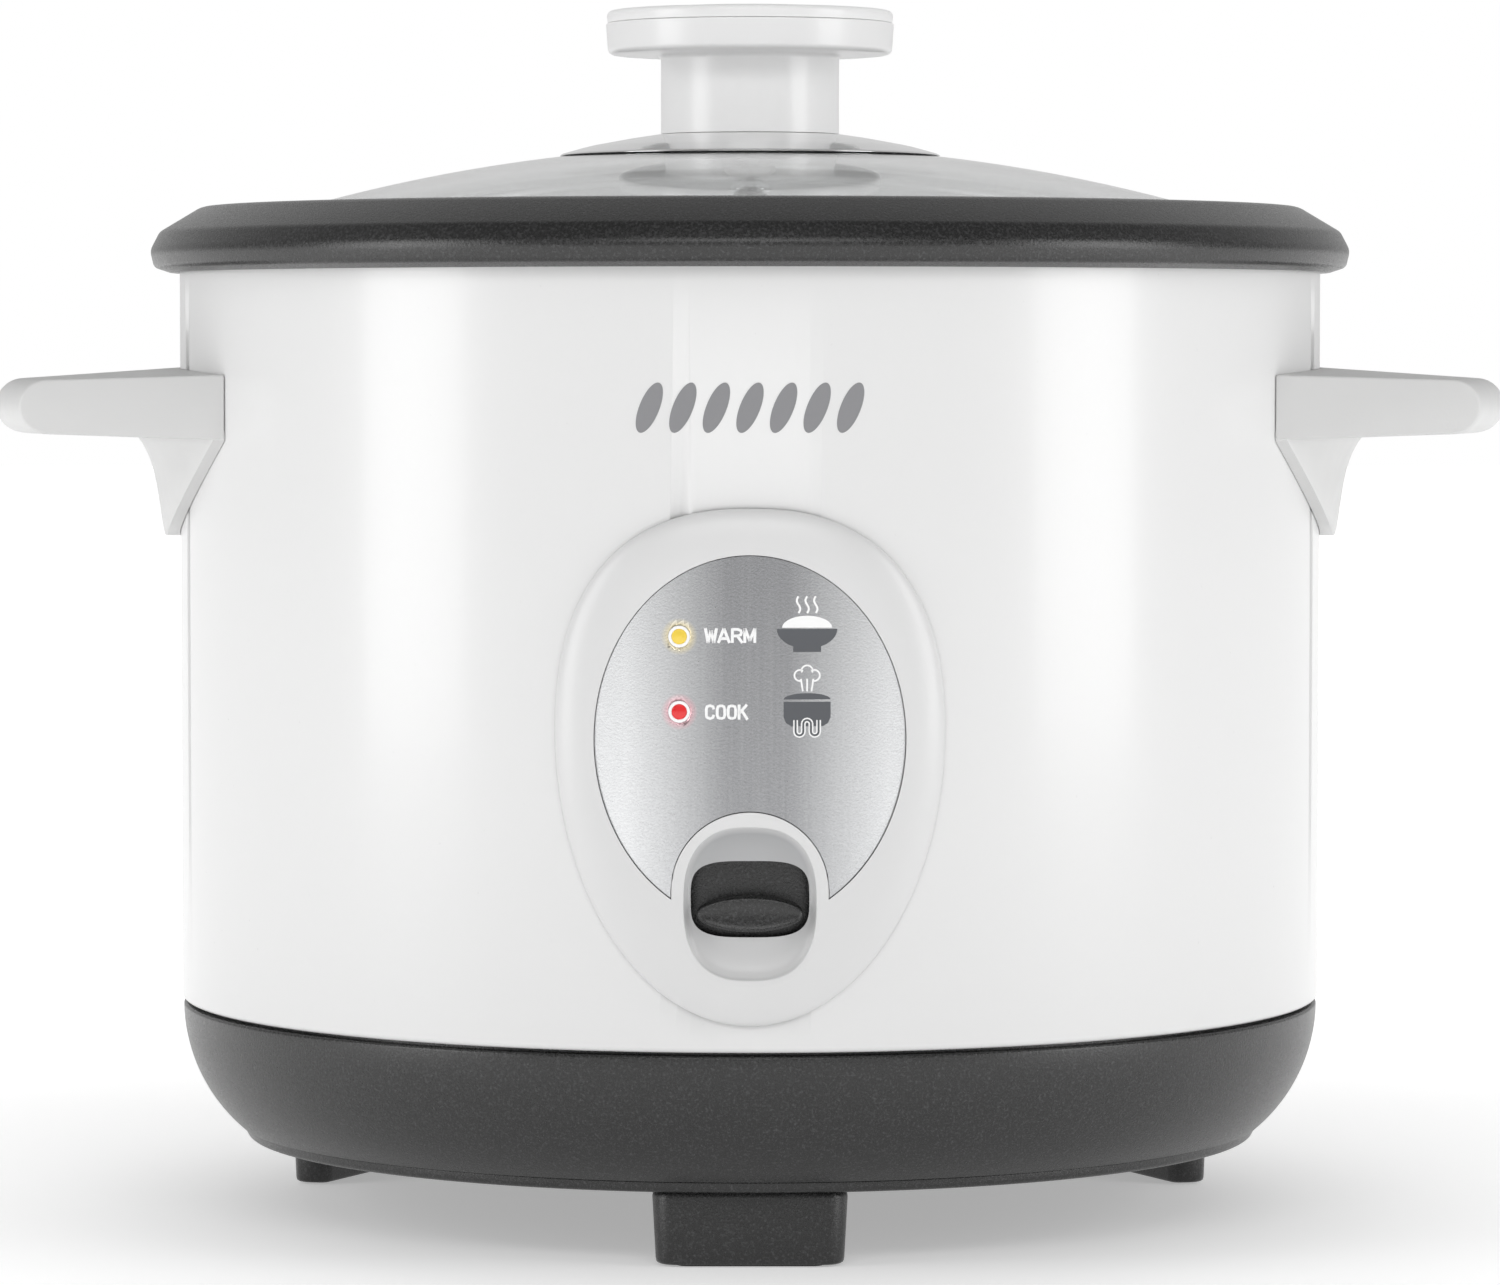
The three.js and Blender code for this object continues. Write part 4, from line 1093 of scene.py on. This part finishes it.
def make_marks():
    lettering("WARM", -9.3, 134.1, 10.8, 3.05)
    lettering("COOK", -9.3, 118.1, 9.1, 3.15)

    bowl_x = 11.9
    bowl = oval(bowl_x, 137.0, 6.3, 4.1, 180, 360)
    printed("mark_bowl", [bowl, [(9.0, 133.4), (9.0, 132.2), (14.8, 132.2), (14.8, 133.4)]],
            "ink_dark", FASCIA_R)
    printed("mark_rice", [oval(bowl_x, 137.25, 5.2, 2.5, 0, 180)], "ink_white", FASCIA_R)
    wisps = [stroke(wisp(x, 140.3, 3.5, 0.35), 0.42) for x in (10.1, 11.9, 13.7)]
    printed("mark_steam", wisps, "ink_white", FASCIA_R)

    lid = oval(bowl_x, 122.3, 4.9, 1.3, 0, 180, 24)
    vessel = [(7.0, 121.8), (7.0, 118.6), (7.5, 117.4), (8.6, 116.7), (15.2, 116.7),
              (16.3, 117.4), (16.8, 118.6), (16.8, 121.8)]
    printed("mark_vessel", [lid, vessel], "ink_dark", FASCIA_R)
    plume = [stroke([(x0, 124.0), (x1, 126.6)], 0.36) for x0, x1 in
             ((11.0, 10.6), (11.9, 11.9), (12.8, 13.2))]
    cloud = (oval(10.4, 127.3, 1.15, 1.15, 275, 60, 14) + oval(11.9, 128.2, 1.2, 1.2, 190, -10, 16)
             + oval(13.4, 127.3, 1.15, 1.15, 120, -95, 14))
    printed("mark_plume", plume + [stroke(cloud, 0.36)], "ink_white", FASCIA_R)
    coil = [(9.5, 118.0), (9.5, 115.6)]
    coil += oval(10.3, 115.6, 0.8, 0.8, 180, 360, 8)[1:]
    coil += oval(11.9, 117.2, 0.8, 0.8, 180, 0, 8)
    coil += oval(13.5, 115.6, 0.8, 0.8, 180, 360, 8) + [(14.3, 118.0)]
    printed("mark_coil_edge", [stroke(coil, 1.0)], "ink_white", FASCIA_R, 0.09)
    printed("mark_coil", [stroke(coil, 0.4)], "ink_dark", FASCIA_R, 0.12)

    grains = []
    for i in range(7):
        lean = math.radians(68)
        centre = Vector((-21 + 7 * i, 183.0))
        grain = []
        for x, z in oval(0, 0, 5.6, 2.1):
            swing = Matrix.Rotation(lean, 2) @ Vector((x, z))
            grain.append(tuple(centre + swing))
        grains.append(grain)
    printed("mark_grains", grains, "ink_grey", BODY_R)


# ------------------------------------------------------------------ pot and lid

def dome(r, below=0.0):
    return GLASS_TOP - GLASS_R + math.sqrt((GLASS_R - below) ** 2 - r * r)


def make_lid():
    steps = 20
    radii = [3.0 + (GLASS_EDGE - 3.0) * i / steps for i in range(steps + 1)]
    outside = [(r, dome(r)) for r in radii]
    inside = [(r, dome(r, GLASS_WALL)) for r in reversed(radii)]
    pane = turned("lid_glass_fine", outside + inside, smooth_angle=40)
    drill(pane, 3.9, 225, 245, (0, middle("steam_vent").y, 0))
    place(pane, "lid_glass", "lid", "lid_glass")

    seat = POT_TOP + 0.3
    rim = turned("lid_rim_fine", [
        (110.5, seat, 0.3),
        (118.6, seat, 0.9),
        (118.6, 225.2, 1.8),
        (111.4, 226.0, 0.35),
        (111.4, dome(111.4) + 0.35, 0.1),
        (GLASS_EDGE + 0.35, dome(GLASS_EDGE) + 0.35),
        (GLASS_EDGE + 0.35, seat + 0.8),
        (110.5, seat + 0.8, 0.3),
    ])
    place(rim, "stainless_trim", "lid", "lid_rim")

    edge = dome(COLLAR_R)
    collar = turned("knob_collar_fine", [
        *[(r, dome(r) + 0.12) for r in (3.2, 10.0, 17.0, 24.0, 31.0, COLLAR_R - 0.6)],
        (COLLAR_R, edge + 0.3, 0.15),
        (COLLAR_R - 0.8, edge + 0.75, 0.6),
        (36.5, 241.25, 40),
        (27.0, 243.0, 30),
        (STEM_R + 1.0, COLLAR_TOP - 0.05, 3),
        (3.2, COLLAR_TOP - 0.05),
    ])
    place(collar, "stainless_trim", "lid", "knob_collar")

    knob = turned("knob_body_fine", [
        (2.2, 256),
        (2.2, 244.0),
        (STEM_R, 244.0, 0.1),
        (STEM_R, 261.8, 1.1),
        (KNOB_R - 0.5, 262.1, 1.4),
        (KNOB_R, 269.08, 0.25),
        (2.2, 269.08),
    ])
    place(knob, "knob_white_gloss", "lid", "knob_body")

    cap = turned("knob_cap_fine", [
        (0, 269.2),
        (KNOB_R - 0.4, 269.2, 0.2),
        (KNOB_R - 0.05, 271.9, 1.3),
        (20, KNOB_TOP - 0.35, 60),
        (0, KNOB_TOP),
    ], closed=False)
    place(cap, "knob_white_gloss", "lid", "knob_cap")

    vent = turned("steam_vent_fine", [
        (1.4, 230.6, 0.2),
        (4.8, 230.6, 0.3),
        (4.8, 231.5, 0.3),
        (3.4, 231.5),
        (3.4, 237.5),
        (5.5, 237.5, 0.2),
        (5.5, 238.4, 0.5),
        (3.0, 238.7, 0.6),
        (1.4, 238.2, 0.3),
    ], segments=TINY)
    moved(vent, y=middle("steam_vent").y)
    place(vent, "stainless_trim", "lid", "steam_vent")


def make_pot():
    inner = POT_R - 1.5
    pot = turned("inner_pot_fine", [
        (0, POT_BOTTOM),
        (POT_R, POT_BOTTOM, 6),
        (POT_R, POT_TOP - 1.5, 0.8),
        (POT_LIP_R, POT_TOP - 1.5, 0.7),
        (POT_LIP_R, POT_TOP, 0.7),
        (inner, POT_TOP, 2.4),
        (inner, POT_BOTTOM + 1.5, 4.5),
        (0, POT_BOTTOM + 1.5),
    ], closed=False)
    place(pot, "pot_aluminium", "pot", "inner_pot")


# ------------------------------------------------------------------ inside and underneath

def wire(name, points, radius, sides):
    """A round bar along a line of points, closed at both ends."""
    points = [Vector(p) for p in points]
    rings = []
    side = None
    for i, point in enumerate(points):
        along = (points[min(i + 1, len(points) - 1)] - points[max(i - 1, 0)]).normalized()
        side = side or along.orthogonal()
        side = (side - along * side.dot(along)).normalized()
        other = along.cross(side)
        turn = [2 * math.pi * k / sides for k in range(sides)]
        rings.append([point + radius * (math.cos(a) * side + math.sin(a) * other) for a in turn])
    return finish_mesh(name, rings_bmesh(rings), 40)


def helix(node, turns, wire_r):
    """A compression spring that fills its CAD node's box."""
    bottom, top = low(node).z + wire_r, high(node).z - wire_r
    reach = high(node).x - wire_r
    count = turns * 48
    points = []
    for i in range(count + 1):
        a = 2 * math.pi * i / 48
        flat_ends = min(1, max(0, (i / count - 0.08) / 0.84))
        points.append((reach * math.cos(a), reach * math.sin(a), bottom + (top - bottom) * flat_ends))
    return wire(node + "_fine", points, wire_r, 12)


def screw_mesh(name, head, head_height, shaft, length):
    """A pan head with a cross recess, head down, shank up."""
    made = turned(name, [
        (0, 0),
        (head * 0.78, 0.05, 0.6),
        (head, head_height * 0.55, 0.5),
        (head, head_height),
        (shaft, head_height, 0.2),
        (shaft, length, 0.3),
        (0, length),
    ], closed=False, segments=TINY)
    for turn in (0, 90):
        slot = rounded_block("recess", head * 0.55, 0.45, 0.1, -1.0, head_height * 0.6, 0)
        slot.data.transform(Matrix.Rotation(math.radians(turn), 4, "Z") @ FRONTWARD)
        boolean(made, slot)
    return made


def make_well_and_heater():
    flange = RING_SEAT - 0.3
    well_r, wall, floor = 115.6, 1.0, low("inner_shell").z
    well = turned("inner_shell_fine", [
        (125.3, flange),
        (125.3, flange - wall),
        (well_r + wall, flange - wall, 1.2),
        (well_r + wall, floor, 3.6),
        (20.2, floor),
        (20.2, floor + wall),
        (well_r, floor + wall, 2.6),
        (well_r, flange, 0.6),
    ])
    for side in (-1, 1):
        a = math.radians(90 + TERMINALS * side)
        drill(well, TERMINAL_HOLE_R, 50, 60, (ELEMENT_R * math.cos(a), ELEMENT_R * math.sin(a), 0))
    place(well, "bare_aluminium", "root", "inner_shell")

    plate_top, under, plate_r = high("heating_plate").z, 65.7, high("heating_plate").x
    plate = turned("heating_plate_fine", [
        (19.6, under, 0.4),
        (19.6, plate_top, 0.6),
        (plate_r, plate_top, 4.5),
        (plate_r, under, 2.0),
    ])
    for angle in (30, 150, 270):
        a = math.radians(angle)
        section = [(0, floor + wall + 0.3), (4, floor + wall + 0.3, 0.4), (4, under + 2), (0, under + 2)]
        leg = turned("leg", section, closed=False, segments=TINY)
        boolean(plate, moved(leg, 43 * math.cos(a), 43 * math.sin(a)), "UNION")
    smoothed(plate.data, 32)
    place(plate, "bare_aluminium", "root", "heating_plate", look="pot_aluminium")

    level = under - 3.4 - 0.5
    turns = [math.radians(90 + TERMINALS * side) for side in (1, -1)]
    ends = [(ELEMENT_R * math.cos(a), ELEMENT_R * math.sin(a)) for a in turns]
    points = [(*ends[0], z) for z in (46, 50, 54, 57)]
    bend = 13  # degrees from the rear to where the level ring starts
    sweep = 2 * math.pi - 2 * math.radians(bend)
    for i in range(121):
        a = math.radians(90 + bend) + sweep * i / 120
        points.append((ELEMENT_R * math.cos(a), ELEMENT_R * math.sin(a), level))
    points += [(*ends[1], z) for z in (57, 54, 50, 46)]
    element = wire("heating_element_fine", points, 3.35, 20)
    place(element, "spring_steel", "root", "heating_element")


def make_thermostat():
    top, reach = high("sensor_can").z, 18.6
    collar = high("sensor_can").x
    can = turned("sensor_can_fine", [
        (0, top),
        (reach, top, 1.2),
        (reach, 62.4, 0.3),
        (collar, 62.4, 0.2),
        (collar, 61.2, 0.2),
        (reach, 61.2),
        (reach, 50.5, 0.2),
        (reach - 0.7, 50.5, 0.2),
        (reach - 0.7, top - 1.5, 0.6),
        (0, top - 1.5),
    ], closed=False, segments=FINE)
    place(can, "bare_aluminium", "sensor", "sensor_can", look="pot_aluminium")
    for body, turns in (("sensor", 2), ("magnet", 4)):
        spring = body + "_spring"
        place(helix(spring, turns, 0.7), "spring_steel", body, spring)
    ferrite = turned("sensor_ferrite_fine", [
        (0, low("sensor_ferrite").z),
        (10, low("sensor_ferrite").z, 0.5),
        (10, high("sensor_ferrite").z, 0.3),
        (0, high("sensor_ferrite").z),
    ], closed=False, segments=FINE)
    place(ferrite, "ferrite_black", "sensor", "sensor_ferrite")
    bottom = low("magnet_plunger").z
    magnet = turned("magnet_plunger_fine", [
        (0, bottom),
        (3, bottom, 0.8),
        (3, 55),
        (16.6, 55, 0.4),
        (16.6, 57, 0.4),
        (10, 57),
        (10, high("magnet_plunger").z, 0.4),
        (0, high("magnet_plunger").z),
    ], closed=False, segments=FINE)
    place(magnet, "ferrite_black", "magnet", "magnet_plunger")


def make_fixings():
    for where in POSTS:
        at = middle("tie_post_" + where)
        post = turned("tie_post_fine_" + where, [
            (0, 32), (1.8, 32), (1.8, 21.9), (4.5, 21.9, 0.4), (4.5, high("tie_post_rear").z, 0.4),
            (0, high("tie_post_rear").z),
        ], closed=False, segments=TINY)
        place(moved(post, at.x, at.y), "plated_steel", "root", "tie_post_" + where)
        screw = screw_mesh("base_screw_fine_" + where, **BASE_SCREW)
        moved(screw, at.x, at.y, BASE_SCREW_Z)
        place(screw, "plated_steel", "root", "base_screw_" + where)
    for side, sign in SIDES:
        for where in ("front", "rear"):
            node = "handle_screw_%s_%s" % (side, where)
            screw = screw_mesh(node + "_fine", **HANDLE_SCREW)
            moved(screw, sign * HANDLE_SCREW_X, middle(node).y, middle(node).z, sideways(sign))
            place(screw, "plated_steel", "root", node)
    knob = screw_mesh("knob_screw_fine", **KNOB_SCREW)
    moved(knob, z=low("knob_screw").z)
    place(knob, "plated_steel", "lid", "knob_screw")


def make_inlet():
    centre = middle("inlet_housing")
    back, mouth = low("inlet_housing").y, high("inlet_housing").y
    body = rounded_block("inlet_fine", 15.5, 8.75, 2.4, back, mouth, centre.z)
    softened(body, 0.4)
    boolean(body, rounded_block("socket", 13, 6.5, 1.6, back + 3, mouth + 5, centre.z))
    for pole in ("live", "neutral", "earth"):
        node = "inlet_pin_" + pole
        at = middle(node)
        drill(body, 2.3, -20, 10, (at.x, back, at.z), REARWARD)
        length = high(node).y - low(node).y
        pin = turned(node + "_fine", [(0, 0), (2.0, 0, 0.2), (2.0, length, 0.9), (0, length)],
                     closed=False, segments=TINY)
        moved(pin, at.x, low(node).y, at.z, REARWARD)
        place(pin, "pin_brass", "root", node)
    place(body, "black_plastic", "root", "inlet_housing")


# ------------------------------------------------------------------ studio

def floor_material():
    """A pale floor that brightens away from the part, as a lit white sweep does."""
    s = Shader("studio_floor", Roughness=0.9, Specular_IOR_Level=0.1)
    s.set("Base Color", s.mixed(s.noise(3, 2), shade(0.80), shade(0.82)))
    s.principled.inputs["Emission Color"].default_value = (1, 1, 1, 1)
    away = s.maths("LENGTH", s.coordinates, kind="ShaderNodeVectorMath")
    s.set("Emission Strength", s.ranged(away, 0.1, 0.5, 0.36, 0.8))
    return s.material


def make_world():
    """White to the eye, and dimmer as a light so that the softboxes do the modelling."""
    world = bpy.data.worlds.new("studio")
    bpy.context.scene.world = world
    world.use_nodes = True
    nodes, links = world.node_tree.nodes, world.node_tree.links
    lit = nodes["Background"]
    lit.inputs["Color"].default_value = (1, 1, 1, 1)
    split = nodes.new("ShaderNodeSeparateXYZ")
    links.new(nodes.new("ShaderNodeTexCoord").outputs["Generated"], split.inputs[0])
    behind = nodes.new("ShaderNodeMapRange")
    links.new(split.outputs[1], behind.inputs["Value"])
    for socket, value in (("From Min", 0.1), ("From Max", 0.9), ("To Min", 0.30), ("To Max", 0.7)):
        behind.inputs[socket].default_value = value
    links.new(behind.outputs[0], lit.inputs["Strength"])
    seen = nodes.new("ShaderNodeBackground")
    seen.inputs["Color"].default_value = (1, 1, 1, 1)
    seen.inputs["Strength"].default_value = 1.0
    mix = nodes.new("ShaderNodeMixShader")
    links.new(nodes.new("ShaderNodeLightPath").outputs["Is Camera Ray"], mix.inputs[0])
    links.new(lit.outputs[0], mix.inputs[1])
    links.new(seen.outputs[0], mix.inputs[2])
    links.new(mix.outputs[0], nodes["World Output"].inputs["Surface"])


def softbox(name, azimuth, height, distance, size, radiance):
    """A soft rectangular light facing the part; azimuth is measured from the front."""
    light = bpy.data.lights.new(name, "AREA")
    light.shape = "RECTANGLE"
    light.size, light.size_y = size
    light.energy = radiance * math.pi * size[0] * size[1]
    lamp = bpy.data.objects.new(name, light)
    a = math.radians(azimuth)
    lamp.location = (distance * math.sin(a), -distance * math.cos(a), height)
    aim = Vector((0, 0, 0.13)) - lamp.location
    lamp.rotation_euler = aim.to_track_quat("-Z", "Y").to_euler()
    bpy.context.scene.collection.objects.link(lamp)


def make_studio():
    bm = bmesh.new()
    bmesh.ops.create_circle(bm, cap_ends=True, segments=128, radius=9000)
    floor = finish_mesh("floor", bm)
    floor.data.materials.append(floor_material())
    make_world()
    softbox("side_left", -67, 0.3, 1.5, (0.62, 1.3), 3.4)
    softbox("side_right", 67, 0.3, 1.5, (0.62, 1.3), 3.4)
    softbox("front_top", 0, 0.95, 1.45, (1.4, 0.42), 2.9)
    bpy.context.scene.view_settings.view_transform = "Standard"


def make_camera():
    camera = bpy.data.cameras.new("camera")
    camera.lens = 154.7
    camera.sensor_width = 36.0
    eye = bpy.data.objects.new("camera", camera)
    eye.location = (0, -1.473, 0.196)
    eye.rotation_euler = (math.radians(90 - 2.64), 0, 0)
    bpy.context.scene.collection.objects.link(eye)
    bpy.context.scene.camera = eye


make_camera()
dress_nodes()
make_outer_shell()
make_top_ring()
make_base()
make_feet()
make_handles()
make_panel()
make_marks()
make_lid()
make_pot()
make_well_and_heater()
make_thermostat()
make_fixings()
make_inlet()
make_studio()
